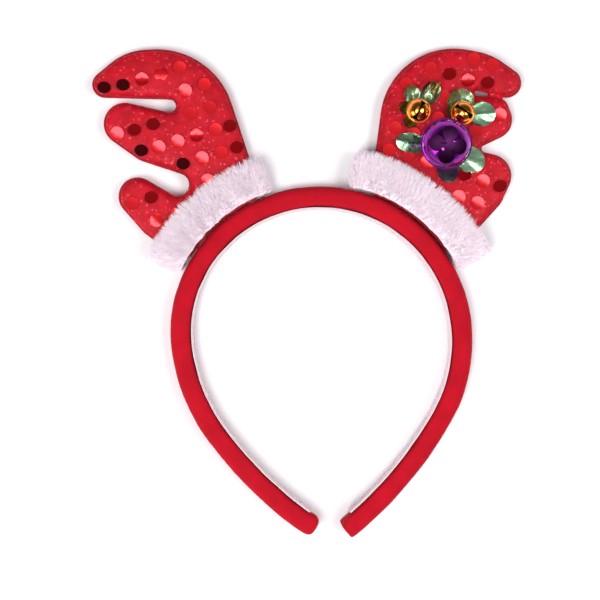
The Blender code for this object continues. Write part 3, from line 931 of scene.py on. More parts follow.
    def build(self, velvet: Material, ribbon: Material) -> list[Object]:
        """Build and dress the hoop.

        Args:
            velvet: finish of the cover.
            ribbon: finish of the lining.

        Returns:
            The cover and the ribbon.
        """
        bm = bmesh.new()
        self.cover_arm(bm, Side.LEFT, self.tips_left)
        self.cover_arm(bm, Side.RIGHT, self.tips_right)
        bmesh.ops.remove_doubles(bm, verts=bm.verts, dist=MERGE_REACH)
        self.soften(bm)
        bmesh.ops.translate(bm, vec=CROWN_CENTRE + Z_AXIS * self.middle, verts=bm.verts)
        cover = to_piece("hoop_velvet", bm)
        self.lay_chart(cover)
        finish_piece(cover, velvet, "red_velvet", ["hoop_cover"])
        return [cover, self.build_ribbon(ribbon)]

    def build_ribbon(self, ribbon: Material) -> Object:
        """Build the ribbon along the inner face.

        Args:
            ribbon: its finish.

        Returns:
            The ribbon.
        """
        bm = bmesh.new()
        shift = -(self.thickness + self.ribbon_thickness) / 2 - GLUE_GAP
        for side in Side:
            ring = bmesh.ops.create_circle(bm, segments=20, radius=1.0)["verts"]
            for vertex in ring:
                out = math.copysign(abs(vertex.co.x) ** self.ribbon_fullness, vertex.co.x)
                up = math.copysign(abs(vertex.co.y) ** self.ribbon_fullness, vertex.co.y)
                out = shift + out * self.ribbon_thickness / 2
                vertex.co = (0, self.radius + out, up * self.ribbon_width / 2)
            edges = edges_round(ring)
            last = self.spin_arm(bm, ring + edges, side, self.length(side) - self.ribbon_short)
            rim = only(last, BMEdge)
            bmesh.ops.edgeloop_fill(bm, edges=rim)
        bmesh.ops.remove_doubles(bm, verts=bm.verts, dist=MERGE_REACH)
        for vertex in bm.verts:
            along, _ = self.chart(vertex.co)
            away = Vector((vertex.co.x, vertex.co.y, 0)).normalized()
            ripple = noise.noise(Vector((along * 110, vertex.co.z * 90, 4.0)))
            vertex.co -= away * max(0.0, ripple) * self.dent
        bmesh.ops.translate(bm, vec=CROWN_CENTRE + Z_AXIS * self.middle, verts=bm.verts)
        made_piece = to_piece("hoop_ribbon", bm)
        self.lay_chart(made_piece)
        finish_piece(made_piece, ribbon, "pale_ribbon", ["hoop_lining"])
        shrink = (self.radius - self.thickness / 2) / self.radius
        length = sum(self.length(side) - self.ribbon_short for side in Side) * shrink
        return made_piece

    def seat_radius(self, side: Side, angle: float) -> float:
        """Find the radius round the crown's centre that clears the hoop under a cuff.

        Args:
            side: which arm.
            angle: last angle of the cuff from the crown's top, in degrees.

        Returns:
            The radius.
        """
        reach = self.radius
        for stretch in self.stretches(side):
            for share in np.linspace(0, 1, 40):
                outward = self.outward(side, stretch.heading + stretch.turn * share)
                place = stretch.centre + outward * stretch.radius
                if math.degrees(math.atan2(abs(place.x), place.y)) <= angle:
                    reach = max(reach, place.length)
        return reach + self.thickness / 2 + CLEARANCE


@dataclass(frozen=True)
class Bend:
    """A circle that an antler's outline runs round, in shares of the antler's span and rise."""

    across: float
    up: float
    radius: float
    notch: bool = False


@dataclass(frozen=True)
class Circle:
    """A circle in place: its centre, and its radius, which is negative where the outline turns in."""

    centre: Vector
    radius: float


@dataclass(frozen=True)
class Seat:
    """Angles from the crown's top where an antler's foot starts and ends, and where its cuff ends."""

    foot_inner: float
    foot_outer: float
    cuff_outer: float


@dataclass(frozen=True)
class SequinChart:
    """Rows in which an antler's sequins are sewn, and how those that catch the eye lie.

    The origin and the two steps are pixels of the photograph, across and down. Those not charted
    lie plain.
    """

    origin: tuple[float, float]
    step: tuple[float, float]
    row: tuple[float, float]
    charted: dict[Gleam, tuple[tuple[int, int], ...]]

    def gleam(self, column: int, row: int) -> Gleam:
        """Find how the sequin at a place in the rows lies."""
        return next((gleam for gleam, places in self.charted.items() if (column, row) in places), Gleam.PLAIN)


CHART_LEFT = SequinChart(
    origin=(215.5, 129.8),
    step=(18.9, -5.7),
    row=(5.6, 22.5),
    charted={
        Gleam.BRIGHT: ((-1, -2), (-5, -1), (-3, 0), (-2, 0), (-1, 1), (-1, 2)),
        Gleam.DARK: ((-4, -1), (-3, -1), (1, 0), (1, 1), (-4, 2)),
        Gleam.BLACK: ((-4, -3), (-4, 0), (-2, 1), (-5, -3)),
        Gleam.LIT_ABOVE: ((-3, -3), (-1, 0)),
        Gleam.LIT_BELOW: ((-2, -3),),
        Gleam.LIT_CORNER: ((-4, 3),),
    },
)
CHART_RIGHT = SequinChart(
    origin=(468.0, 80.5),
    step=(18.7, 6.2),
    row=(-5.6, 22.0),
    charted={
        Gleam.BRIGHT: ((2, 1), (-1, 4), (1, 5), (2, 5), (2, 4)),
        Gleam.DARK: ((1, 0), (-1, 0), (1, 4), (3, 4)),
        Gleam.LIT_ABOVE: ((0, 0),),
        Gleam.LIT_BELOW: ((-1, 3),),
    },
)


@dataclass
class Antler:
    """Foam antler in a red knit with sewn sequins and a stitched rim."""

    side: Side
    hoop: Hoop
    seat: Seat
    bends: tuple[Bend, ...]
    chart: SequinChart
    span: float = 0.0567
    rise: float = 0.0789
    thickness: float = 0.0076
    middle: float = 0.00675
    foot_rounding: float = 0.0052
    seat_overlap: float = 4.0
    rim_width: float = 0.0010
    rim_thickness: float = 0.0009
    rim_bite: float = 0.0012
    rim_wobble: float = 0.00012
    longest_step: float = 0.0022
    seam_step: float = 0.0006
    shoulder_roll: float = 0.0034
    seam_share: float = 0.30
    pucker_height: float = 0.00035
    pucker_width: float = 0.0016
    dent: float = 0.00022
    core_share: float = 0.56
    voxel: float = 0.0014
    swell_cap: float = 0.0024
    sequin_radius: float = 0.0030
    sequin_thickness: float = 0.00016
    sequin_sides: int = 16
    sequin_margin: float = 0.0040
    sequin_lift: float = 0.0002
    sequin_tuck: float = 0.0030
    sequin_reach: int = 9
    sequin_sway: float = 0.015
    plain_share: float = 0.92

    @property
    def base(self) -> float:
        """Radius round the crown's centre that the foot stands on."""
        return self.hoop.seat_radius(self.side, self.seat.cuff_outer + self.seat_overlap)

    def circles(self) -> list[Circle]:
        """List the circles that the outline runs round.

        Returns:
            The circles in order, drawn about the crown's centre as on the left side.
        """
        mid_angle = (self.seat.foot_inner + self.seat.foot_outer) / 2
        foot = self.round_crown(self.base, mid_angle)
        girth = math.sqrt(self.span * self.rise)
        corner = self.base + self.foot_rounding * 1.001
        made = [Circle(self.round_crown(corner, self.seat.foot_inner), self.foot_rounding)]
        for bend in self.bends:
            centre = foot + Vector((-bend.across * self.span, bend.up * self.rise, 0))
            made.append(Circle(centre, bend.radius * girth * (-1 if bend.notch else 1)))
        made.append(Circle(self.round_crown(corner, self.seat.foot_outer), self.foot_rounding))
        made.append(Circle(Vector((0, 0, 0)), -self.base))
        return made

    @staticmethod
    def round_crown(radius: float, degrees: float) -> Vector:
        """Give a point at an angle from the crown's top, on the left side."""
        angle = math.radians(degrees)
        return Vector((-radius * math.sin(angle), radius * math.cos(angle), 0))

    @staticmethod
    def heading(start: Circle, end: Circle) -> float:
        """Find the heading of the straight run between two circles of the outline.

        Args:
            start: circle that the run leaves.
            end: circle that it reaches.

        Returns:
            The heading in radians, anticlockwise from +X.
        """
        gap = end.centre - start.centre
        lean = max(-1.0, min(1.0, (start.radius - end.radius) / gap.length))
        return math.atan2(gap.y, gap.x) + math.asin(lean)

    def outline(self, bm: BMesh, inset: float, height: float, fine: float) -> list[BMVert]:
        """Draw the outline as a closed loop of edges, set in by a distance.

        Args:
            bm: mesh that gets it.
            inset: distance inwards, which keeps its corners round.
            height: height over the floor.
            fine: longest step along an arc, in degrees.

        Returns:
            The loop's vertices in order.
        """
        circles = self.circles()
        loop: list[BMVert] = []
        for index, circle in enumerate(circles):
            arrive = self.heading(circles[index - 1], circle)
            leave = self.heading(circle, circles[(index + 1) % len(circles)])
            turn = (leave - arrive) % math.tau
            slack = math.radians(20)
            if (circle.radius > 0 and turn > math.tau - slack) or (circle.radius < 0 and turn > slack):
                turn -= math.tau
            reach = circle.radius - inset
            by_angle = math.ceil(abs(turn) / math.radians(fine))
            steps = max(1, by_angle, math.ceil(abs(turn * reach) / self.longest_step))
            start = bm.verts.new(circle.centre + Vector((math.sin(arrive), -math.cos(arrive), 0)) * reach)
            before = set(bm.verts)
            bmesh.ops.spin(bm, geom=[start], cent=circle.centre, axis=Z_AXIS, angle=turn, steps=steps)
            loop.extend([start] + [vertex for vertex in bm.verts if vertex not in before])
        for one, other in zip(loop, loop[1:] + loop[:1]):
            if bm.edges.get((one, other)) is None:
                bm.edges.new((one, other))
        for vertex in loop:
            vertex.co.x *= -self.side.value
            vertex.co += CROWN_CENTRE + Z_AXIS * height
        return loop

    def core(self) -> Object:
        """Cut the foam core, a little thinner than the stuffed antler.

        Returns:
            The core, which becomes the pad.
        """
        half = self.thickness / 2 * self.core_share
        bm = bmesh.new()
        self.outline(bm, self.rim_width * 0.8, self.middle - half, 6.0)
        face = bmesh.ops.edgeloop_fill(bm, edges=bm.edges[:])["faces"]
        thicken(bm, face, 2 * half)
        return to_piece("antler_" + self.side.word + "_pad", bm)

    def swell(self, pad: Object) -> None:
        """Remesh the core and let the cloth over it swell, with its seam held.

        Args:
            pad: the core, which becomes the pad.
        """
        remesh = pad.modifiers.new("grid", "REMESH")
        remesh.mode = "VOXEL"
        remesh.voxel_size = self.voxel
        apply_modifiers(pad)
        still = points_of(pad.data)
        seam = pad.vertex_groups.new(name="seam")
        near = np.abs(still[:, 2] - self.middle) < self.voxel * 0.8
        from_edge = np.array([self.edge_distance(point) for point in still])
        held = np.flatnonzero(near & (from_edge < 2 * self.voxel))
        seam.add(held.tolist(), 1.0, "REPLACE")
        cloth = pad.modifiers.new("swell", "CLOTH")
        cloth.settings.quality = 6
        cloth.settings.mass = 0.05
        cloth.settings.use_pressure = True
        cloth.settings.uniform_pressure_force = 4.0
        cloth.settings.effector_weights.gravity = 0.0
        cloth.settings.vertex_group_mass = "seam"
        for moment in range(1, 21):
            bpy.context.scene.frame_set(moment)
        apply_modifiers(pad)
        bpy.context.scene.frame_set(1)
        moved = points_of(pad.data) - still
        size = np.linalg.norm(moved, axis=1, keepdims=True)
        LOG.info("%s swells by %.2f mm at most", pad.name, size.max() * 1000)
        moved *= np.minimum(1.0, self.swell_cap / np.maximum(size, 1e-9))
        points = still + moved
        full = np.abs(points[:, 2] - self.middle).max()
        points[:, 2] = self.middle + (points[:, 2] - self.middle) * self.thickness / 2 / full
        put_points(pad.data, points)

    def edge_distance(self, point: Sequence[float]) -> float:
        """Distance in plan from a place to the antler's outline."""
        return self.outline_tree.find(Vector((point[0], point[1], self.middle)))[2]

    @cached_property
    def outline_tree(self) -> KDTree:
        """Finder of the outline's nearest place.

        Returns:
            A tree of places close together along the outline.
        """
        bm = bmesh.new()
        self.outline(bm, 0.0, self.middle, 3.0)
        while long_edges := [edge for edge in bm.edges if edge.calc_length() > self.seam_step]:
            bmesh.ops.subdivide_edges(bm, edges=long_edges, cuts=1)
        tree = KDTree(len(bm.verts))
        for index, vertex in enumerate(bm.verts):
            tree.insert(vertex.co, index)
        tree.balance()
        bm.free()
        return tree

    def pucker(self, pad: Object) -> None:
        """Round the pad's shoulders, pucker its seam and dent its faces a little.

        Args:
            pad: the swollen pad.
        """
        smooth = pad.modifiers.new("smooth", "SUBSURF")
        smooth.levels = 1
        smooth.render_levels = 1
        apply_modifiers(pad)
        points = points_of(pad.data)
        for index, point in enumerate(points):
            away = self.edge_distance(point)
            share = min(1.0, away / self.shoulder_roll)
            crown = math.sqrt(max(0.0, 1 - (1 - share) ** 2)) if share < 1 else 1.0
            ripple = noise.noise(Vector((point[0], point[1], 0)) * 330 + Vector((7, 3, self.side.value)))
            slow = noise.noise(Vector((point[0], point[1], 2)) * 75)
            lift = point[2] - self.middle
            near = math.exp(-((away / self.pucker_width) ** 2))
            lift *= self.seam_share + (1 - self.seam_share) * crown
            rise = self.pucker_height * ripple * near + self.dent * (slow - 0.3)
            lift += math.copysign(rise, lift) * share
            points[index][2] = self.middle + lift
        put_points(pad.data, points)
        pad.data.shade_smooth()

    def rim(self, material: Material) -> Object:
        """Sew the flat rim round the pad, in a darker knit that paints the shade along the antler's edge.

        Args:
            material: its finish.

        Returns:
            The rim.
        """
        bm = bmesh.new()
        low = self.middle - self.rim_thickness / 2
        outer = self.outline(bm, 0.0, low, 6.0)
        inner = self.outline(bm, self.rim_width + self.rim_bite, low, 6.0)
        edges = [bm.edges.get((a, b)) for loop in (outer, inner) for a, b in zip(loop, loop[1:] + loop[:1])]
        faces = bmesh.ops.bridge_loops(bm, edges=edges)["faces"]
        thicken(bm, faces, self.rim_thickness)
        for vertex in bm.verts:
            vertex.co.z += noise.noise(vertex.co * 420) * self.rim_wobble
        made = to_piece("antler_" + self.side.word + "_rim", bm)
        finish_piece(made, material, "red_glitter_cloth")
        return made

    def sequin_mesh(self, bend: float) -> Mesh:
        """Punch one sequin, lying on the origin.

        Args:
            bend: how far its two halves turn up, in degrees.

        Returns:
            The sequin's mesh, bent about its own x axis.
        """
        bm = bmesh.new()
        bmesh.ops.create_circle(
            bm, cap_ends=True, cap_tris=True, segments=self.sequin_sides, radius=self.sequin_radius
        )
        slope = math.tan(math.radians(bend)) / self.sequin_radius
        for vertex in bm.verts:
            vertex.co.z = slope * vertex.co.y**2 / 2 + 0.04 * vertex.co.length_squared / self.sequin_radius
        bmesh.ops.solidify(bm, geom=bm.faces[:], thickness=self.sequin_thickness)
        bmesh.ops.recalc_face_normals(bm, faces=bm.faces)
        mesh = bpy.data.meshes.new("sequin")
        bm.to_mesh(mesh)
        bm.free()
        return mesh

    def sewn_places(self) -> Iterator[tuple[Vector, Gleam]]:
        """Walk the rows of sequins over the antler, down to its cuff and in to its seam.

        Charted ones that would overhang the seam are moved inwards.

        Yields:
            Each sequin's place over the front and how it lies.
        """
        front = self.middle + self.thickness / 2
        reach = range(-self.sequin_reach, self.sequin_reach + 1)
        for row in reach:
            for column in reach:
                across = self.chart.origin[0] + column * self.chart.step[0] + row * self.chart.row[0]
                down = self.chart.origin[1] + column * self.chart.step[1] + row * self.chart.row[1]
                spot = photo_place(across, down, front)
                from_crown = (Vector((spot.x, spot.y, 0)) - CROWN_CENTRE).length
                gleam = self.chart.gleam(column, row)
                away = self.edge_distance(spot)
                if away < self.sequin_margin and gleam is not Gleam.PLAIN:
                    seam = self.outline_tree.find(Vector((spot.x, spot.y, self.middle)))[0]
                    spot.xy = seam.xy + (spot - seam).xy.normalized() * self.sequin_margin
                    away = self.sequin_margin
                in_seam = away >= self.sequin_margin * self.plain_share
                if in_seam and from_crown >= self.base + CUFF_HEIGHT - self.sequin_tuck:
                    yield spot, gleam

    def sequins(self, pad: Object, material: Material) -> Object:
        """Sew the sequins in their rows on both faces of the pad.

        Args:
            pad: the finished pad.
            material: the sequins' finish.

        Returns:
            All the antler's sequins as one piece.
        """
        luck = np.random.default_rng(20 + self.side.value)
        skin = BVHTree.FromObject(pad, bpy.context.evaluated_depsgraph_get())
        patterns = {gleam: self.sequin_mesh(gleam.value.bend) for gleam in Gleam}
        bm = bmesh.new()
        tone = bm.verts.layers.float.new("tone")
        for spot, charted in self.sewn_places():
            for facing in (1, -1):
                gleam = charted if facing > 0 else BACK_GLEAMS[int(luck.integers(0, len(BACK_GLEAMS)))]
                start = Vector((spot.x, spot.y, self.middle + facing * 2 * self.thickness))
                hit, normal, _, _ = skin.ray_cast(start, Vector((0, 0, -facing)))
                if hit is None:
                    continue
                mark = len(bm.verts)
                bm.from_mesh(patterns[gleam])
                bm.verts.ensure_lookup_table()
                added = bm.verts[mark:]
                bmesh.ops.transform(bm, matrix=self.lie(hit, normal, gleam.value, luck), verts=added)
                # The tone paints a dark reflection into dark charted sequins; the random factor is a real
                # spread of tone
                shade = gleam.value.tone * luck.uniform(0.86, 1.0)
                for vertex in added:
                    vertex[tone] = shade
        for pattern in patterns.values():
            bpy.data.meshes.remove(pattern)
        made = to_piece("antler_" + self.side.word + "_sequins", bm, turn_outwards=False)
        finish_piece(made, material, "red_glitter_cloth")
        return made

    def lie(self, hit: Vector, normal: Vector, lay: Lay, luck: np.random.Generator) -> Matrix:
        """Place a sequin on the cloth.

        Args:
            hit: place on the cloth.
            normal: way that the cloth faces there.
            lay: how the sequin lies; on the back it only follows the cloth.
            luck: seeded random numbers.

        Returns:
            The matrix that takes a sequin from the origin to its place.
        """
        facing = normal
        if normal.z > 0:
            to_camera = (CAMERA_PLACE - hit).normalized()
            facing = (to_camera + room_way(lay.toward, lay.off_zenith)).normalized()
        facing = (facing + Vector(luck.normal(0, self.sequin_sway, 3))).normalized()
        lift = self.sequin_radius * math.sin(facing.angle(normal)) + self.sequin_lift
        bend_way = math.radians(lay.bend_way)
        ahead = Vector((math.cos(bend_way), math.sin(bend_way), 0))
        ahead = (ahead - facing * ahead.dot(facing)).normalized()
        turn = Matrix((ahead.cross(facing), ahead, facing)).transposed().to_4x4()
        return Matrix.Translation(hit + normal * lift) @ turn

    def build(self, knit: Material, painted_shade_rim_knit: Material, film: Material) -> list[Object]:
        """Build and dress the antler.

        Args:
            knit: finish of the pad.
            painted_shade_rim_knit: finish of the rim.
            film: finish of the sequins.

        Returns:
            The pad, its rim and its sequins.
        """
        pad = self.core()
        self.swell(pad)
        self.pucker(pad)
        finish_piece(pad, knit, "red_glitter_cloth", ["antler_" + self.side.word])
        return [pad, self.rim(painted_shade_rim_knit), self.sequins(pad, film)]


@dataclass
class Cuff:
    """White plush strip sewn round an antler's foot."""

    side: Side
    base: float
    seed: int
    shrink: float = 0.0014
    smoothing: int = 6
    strands: int = 19000
    strand_length: float = 0.0038
    strand_width: float = 0.00027
    clumps: int = 1500
    clumping: float = 0.3
    edge_trim: float = 0.0016
    bare_edge: float = 0.0006
    pressed_height: float = 0.0030
    pressed_share: float = 0.35
    height: float = CUFF_HEIGHT

    def backing(self) -> Object:
        """Build the strip's body from the solid that it stands for, smoothed and drawn in.

        Returns:
            The body, a little smaller than the solid so that the pile has room.
        """
        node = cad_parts["cuff_" + self.side.word]
        bm = bmesh.new()
        bm.from_mesh(node.data)
        bmesh.ops.remove_doubles(bm, verts=bm.verts, dist=MERGE_REACH)
        bmesh.ops.subdivide_edges(bm, edges=bm.edges[:], cuts=1, use_grid_fill=True)
        bmesh.ops.triangulate(bm, faces=bm.faces[:])
        for _ in range(self.smoothing):
            bmesh.ops.smooth_vert(
                bm, verts=bm.verts, factor=0.5, use_axis_x=True, use_axis_y=True, use_axis_z=True
            )
        bm.normal_update()
        for vertex, normal in [(vertex, vertex.normal.copy()) for vertex in bm.verts]:
            vertex.co -= normal * self.shrink
        reaches = [(vertex.co - CROWN_CENTRE).xy.length for vertex in bm.verts]
        low, high = min(reaches), max(reaches)
        for vertex, reach in zip(bm.verts, reaches):
            goal = self.base + GLUE_GAP + (reach - low) / (high - low) * (self.height - self.edge_trim)
            vertex.co.xy = CROWN_CENTRE.xy + (vertex.co - CROWN_CENTRE).xy * goal / reach
        # The backing takes a share between root and tip, in the painted shade of the pile
        share = bm.verts.layers.float.new("share")
        for vertex in bm.verts:
            vertex[share] = 0.6
        return to_piece("cuff_" + self.side.word + "_backing", bm)

    def roots(self, backing: Object, luck: np.random.Generator) -> tuple[np.ndarray, np.ndarray]:
        """Scatter strands evenly over the backing.

        Args:
            backing: the strip's body.
            luck: seeded random numbers.

        Returns:
            Places and directions of the surface there.
        """
        mesh = backing.data
        mesh.calc_loop_triangles()
        points = points_of(mesh)
        normals = np.array([vertex.normal for vertex in mesh.vertices])
        corners = np.array([triangle.vertices for triangle in mesh.loop_triangles])
        areas = np.array([triangle.area for triangle in mesh.loop_triangles])
        middles = points[corners].mean(axis=1)
        flat = middles[:, :2] - np.array(CROWN_CENTRE.xy)
        pressed = np.where(middles[:, 2] < self.pressed_height, self.pressed_share, 1.0)
        grown = np.where(np.linalg.norm(flat, axis=1) < self.base + self.bare_edge, 0.0, 1.0)
        weight = areas * pressed * grown
        chosen = luck.choice(len(areas), self.strands, p=weight / weight.sum())
        mix = luck.dirichlet((1, 1, 1), self.strands)[:, :, None]
        places = (points[corners[chosen]] * mix).sum(axis=1)
        ways = (normals[corners[chosen]] * mix).sum(axis=1)
        ways /= np.linalg.norm(ways, axis=1, keepdims=True)
        return places, ways

    def pile(self, backing: Object) -> Object:
        """Grow the pile, brushed away from the hoop and drawn together in locks.

        Args:
            backing: the strip's body.

        Returns:
            Every strand as one piece.
        """
        luck = np.random.default_rng(self.seed)
        places, ways = self.roots(backing, luck)
        centre = np.array(CROWN_CENTRE)
        radial = places - centre
        radial[:, 2] = 0
        radial /= np.linalg.norm(radial, axis=1, keepdims=True)
        ways = ways - radial * np.minimum(0.0, (radial * ways).sum(axis=1, keepdims=True))
        ways /= np.maximum(np.linalg.norm(ways, axis=1, keepdims=True), 1e-6)
        comb = radial - ways * (radial * ways).sum(axis=1, keepdims=True)
        top = np.clip((np.linalg.norm((places - centre)[:, :2], axis=1) - self.base) / self.height, 0, 1)
        # Without a seed, the offsets of noise_vector come from the clock
        noise.seed_set(self.seed)
        drift = np.array([noise.noise_vector(Vector(place) * 210) for place in places])
        lean = (1.9 * top).clip(0.0, 1.2)[:, None]
        way = ways + comb * lean + 0.4 * drift + luck.normal(0, 0.16, places.shape)
        way /= np.linalg.norm(way, axis=1, keepdims=True)
        length = self.strand_length * luck.uniform(0.7, 1.12, (self.strands, 1)) * (0.6 + 0.4 * top)[:, None]
        knee = places + way * length * 0.5
        bowed = way + comb * lean * 0.35 + luck.normal(0, 0.12, places.shape)
        bowed[:, 2] -= 0.15
        bowed /= np.linalg.norm(bowed, axis=1, keepdims=True)
        tips = knee + bowed * length * 0.55
        tips = self.gather(places, tips, luck)
        knee = knee * 0.7 + (places + tips) * 0.15
        for spots in (knee, tips):
            self.keep_clear(spots)
        return self.strand_piece(places, knee, tips, luck)

    def gather(self, places: np.ndarray, tips: np.ndarray, luck: np.random.Generator) -> np.ndarray:
        """Draw the strands' tips together in locks.

        Args:
            places: where the strands start.
            tips: where they end.
            luck: seeded random numbers.

        Returns:
            The tips in locks.
        """
        heads = luck.choice(self.strands, self.clumps, replace=False)
        tree = KDTree(self.clumps)
        for index, head in enumerate(heads):
            tree.insert(places[head], index)
        tree.balance()
        nearest = np.array([tree.find(place)[1] for place in places])
        goal = tips[heads[nearest]]
        pull = self.clumping * luck.uniform(0.5, 1.25, (self.strands, 1))
        return tips + (goal - tips) * pull

    def keep_clear(self, spots: np.ndarray) -> None:
        """Hold points of the pile above the floor and outside the hoop.

        Args:
            spots: the points, which are changed in place.
        """
        spots[:, 2] = np.maximum(spots[:, 2], FLOOR_GAP)
        flat = spots[:, :2] - np.array(CROWN_CENTRE.xy)
        reach = np.linalg.norm(flat, axis=1, keepdims=True)
        grown = np.maximum(reach, self.base + GLUE_GAP)
        spots[:, :2] = np.array(CROWN_CENTRE.xy) + flat * grown / reach

    def strand_piece(
        self, places: np.ndarray, knee: np.ndarray, tips: np.ndarray, luck: np.random.Generator
    ) -> Object:
        """Join closed three-sided strands with one bend into a piece.

        Args:
            places: where they start.
            knee: where they bend.
            tips: where they end.
            luck: seeded random numbers.

        Returns:
            The pile.
        """
        count = len(places)
        along = tips - places
        along /= np.linalg.norm(along, axis=1, keepdims=True)
        across = np.cross(along, luck.normal(0, 1, along.shape))
        across /= np.linalg.norm(across, axis=1, keepdims=True)
        third = np.cross(along, across)
        corners = []
        for spots, share in ((places, 0.5), (knee, 0.42)):
            for turn in range(3):
                angle = math.tau * turn / 3
                reach = across * math.cos(angle) + third * math.sin(angle)
                corners.append(spots + reach * self.strand_width * share)
        points = np.stack(corners + [tips], axis=1).reshape(-1, 3)
        quads = [(turn, (turn + 1) % 3, (turn + 1) % 3 + 3, turn + 3) for turn in range(3)]
        points_up = [(turn + 3, (turn + 1) % 3 + 3, 6) for turn in range(3)]
        pattern = [*quads, *points_up, (2, 1, 0)]
        faces = [[corner + 7 * strand for corner in face] for strand in range(count) for face in pattern]
        mesh = bpy.data.meshes.new("pile")
        mesh.from_pydata(points.tolist(), [], faces)
        # Roots take share 0 and tips 1, painting shade down into the pile; tone adds a random spread
        share = mesh.attributes.new("share", "FLOAT", "POINT")
        tone = luck.uniform(-0.18, 0.18, (count, 1))
        share.data.foreach_set("value", (np.array([[0, 0, 0, 0.6, 0.6, 0.6, 1.0]]) + tone).ravel())
        bm = bmesh.new()
        bm.from_mesh(mesh)
        bpy.data.meshes.remove(mesh)
        return to_piece("cuff_" + self.side.word + "_pile", bm, turn_outwards=False)

    def build(self, plush: Material) -> list[Object]:
        """Build and dress the cuff.

        Args:
            plush: finish of the backing and the pile.

        Returns:
            The backing and the pile.
        """
        backing = self.backing()
        finish_piece(backing, plush, "white_plush", ["cuff_" + self.side.word])
        pile = self.pile(backing)
        finish_piece(pile, plush, "white_plush")
        return [backing, pile]


@dataclass(frozen=True)
class Lobe:
    """A lobe of a foil leaf: direction and half width in degrees, reach, curl and ridge slope."""

    direction: float
    half_width: float
    reach: float
    curl: float
    ridge: float = 0.0


@dataclass
class FoilLeaf:
    """Leaf cut from green metallised film and creased down the middle of its lobes."""

    name: str
    node: str
    middle: Vector
    lobes: tuple[Lobe, ...]
    seed: int
    hub: float = 0.0045
    thickness: float = 0.00012
    back: float = 0.01085
    sides: int = 160
    rings: int = 14
    crumple: float = 0.00022
    fullness: float = 0.55
    deepest_sag: float = 0.0001

    def shape(self, degrees: float) -> tuple[float, float, float]:
        """Give the leaf's edge in a direction from its hub.

        Args:
            degrees: the direction, anticlockwise from +X.

        Returns:
            How far the edge reaches, how far it curls up, and how high the lobe's ridge stands there.
        """
        reach, curl, ridge = self.hub, 0.0, 0.0
        for lobe in self.lobes:
            away = ((degrees - lobe.direction + 180) % 360 - 180) / lobe.half_width
            if abs(away) >= 1:
                continue
            swell = math.cos(away * math.pi / 2) ** self.fullness
            edge = self.hub + (lobe.reach - self.hub) * swell
            if edge > reach:
                side = edge * abs(math.sin(math.radians(away * lobe.half_width)))
                widest = lobe.reach * math.sin(math.radians(lobe.half_width)) * 0.8
                reach, curl, ridge = edge, lobe.curl * swell, lobe.ridge * (widest - side)
        return reach, curl, ridge

    def build(self, film: Material) -> Object:
        """Build and dress the leaf.

        Args:
            film: its finish.

        Returns:
            The leaf.
        """
        bm = bmesh.new()
        bmesh.ops.create_circle(bm, cap_ends=True, segments=self.sides, radius=1.0)
        disc = bm.faces[:]
        for _ in range(self.rings - 1):
            bmesh.ops.inset_region(bm, faces=disc, thickness=1 / self.rings, use_boundary=True)
        bmesh.ops.poke(bm, faces=disc)
        for vertex in bm.verts:
            share = min(1.0, vertex.co.length)
            degrees = math.degrees(math.atan2(vertex.co.y, vertex.co.x))
            reach, curl, ridge = self.shape(degrees)
            way = math.radians(degrees)
            flat = Vector((math.cos(way), math.sin(way), 0)) * reach * share
            crease = noise.noise(Vector((flat.x, flat.y, self.seed * 0.01)) * 240)
            ripple = noise.noise(Vector((flat.x, flat.y, self.seed * 0.02)) * 620)
            rise = curl * share**3 + ridge * share + self.crumple * share * (abs(crease) * 1.6 + 0.5 * ripple)
            vertex.co = self.middle + flat + Z_AXIS * (self.back + max(rise, -self.deepest_sag))
        bmesh.ops.solidify(bm, geom=bm.faces[:], thickness=self.thickness)
        made = to_piece(self.name, bm)
        finish_piece(made, film, "green_foil", [self.node])
        return made


@dataclass(frozen=True)
class BellStock:
    """A stock size of bell: its shells, its mouth, its sewing loop and its plating's slot.

    A spoke is half a slot, from the mouth's middle to the hole at its end.
    """

    radius: float
    wall: float
    rim_reach: float
    slot_width: float
    hole_diameter: float
    hole_latitude: float
    spokes: int
    loop_radius: float
    loop_wire: float
    slot: str


LARGE_STOCK = BellStock(
    radius=0.0105,
    wall=0.0006,
    rim_reach=0.0007,
    slot_width=0.0034,
    hole_diameter=0.0070,
    hole_latitude=32.0,
    spokes=4,
    loop_radius=0.0016,
    loop_wire=0.0005,
    slot="purple_plated_metal",
)
SMALL_STOCK = BellStock(
    radius=0.0050,
    wall=0.0005,
    rim_reach=0.0004,
    slot_width=0.0010,
    hole_diameter=0.0024,
    hole_latitude=50.0,
    spokes=2,
    loop_radius=0.0009,
    loop_wire=0.00035,
    slot="gold_plated_metal",
)


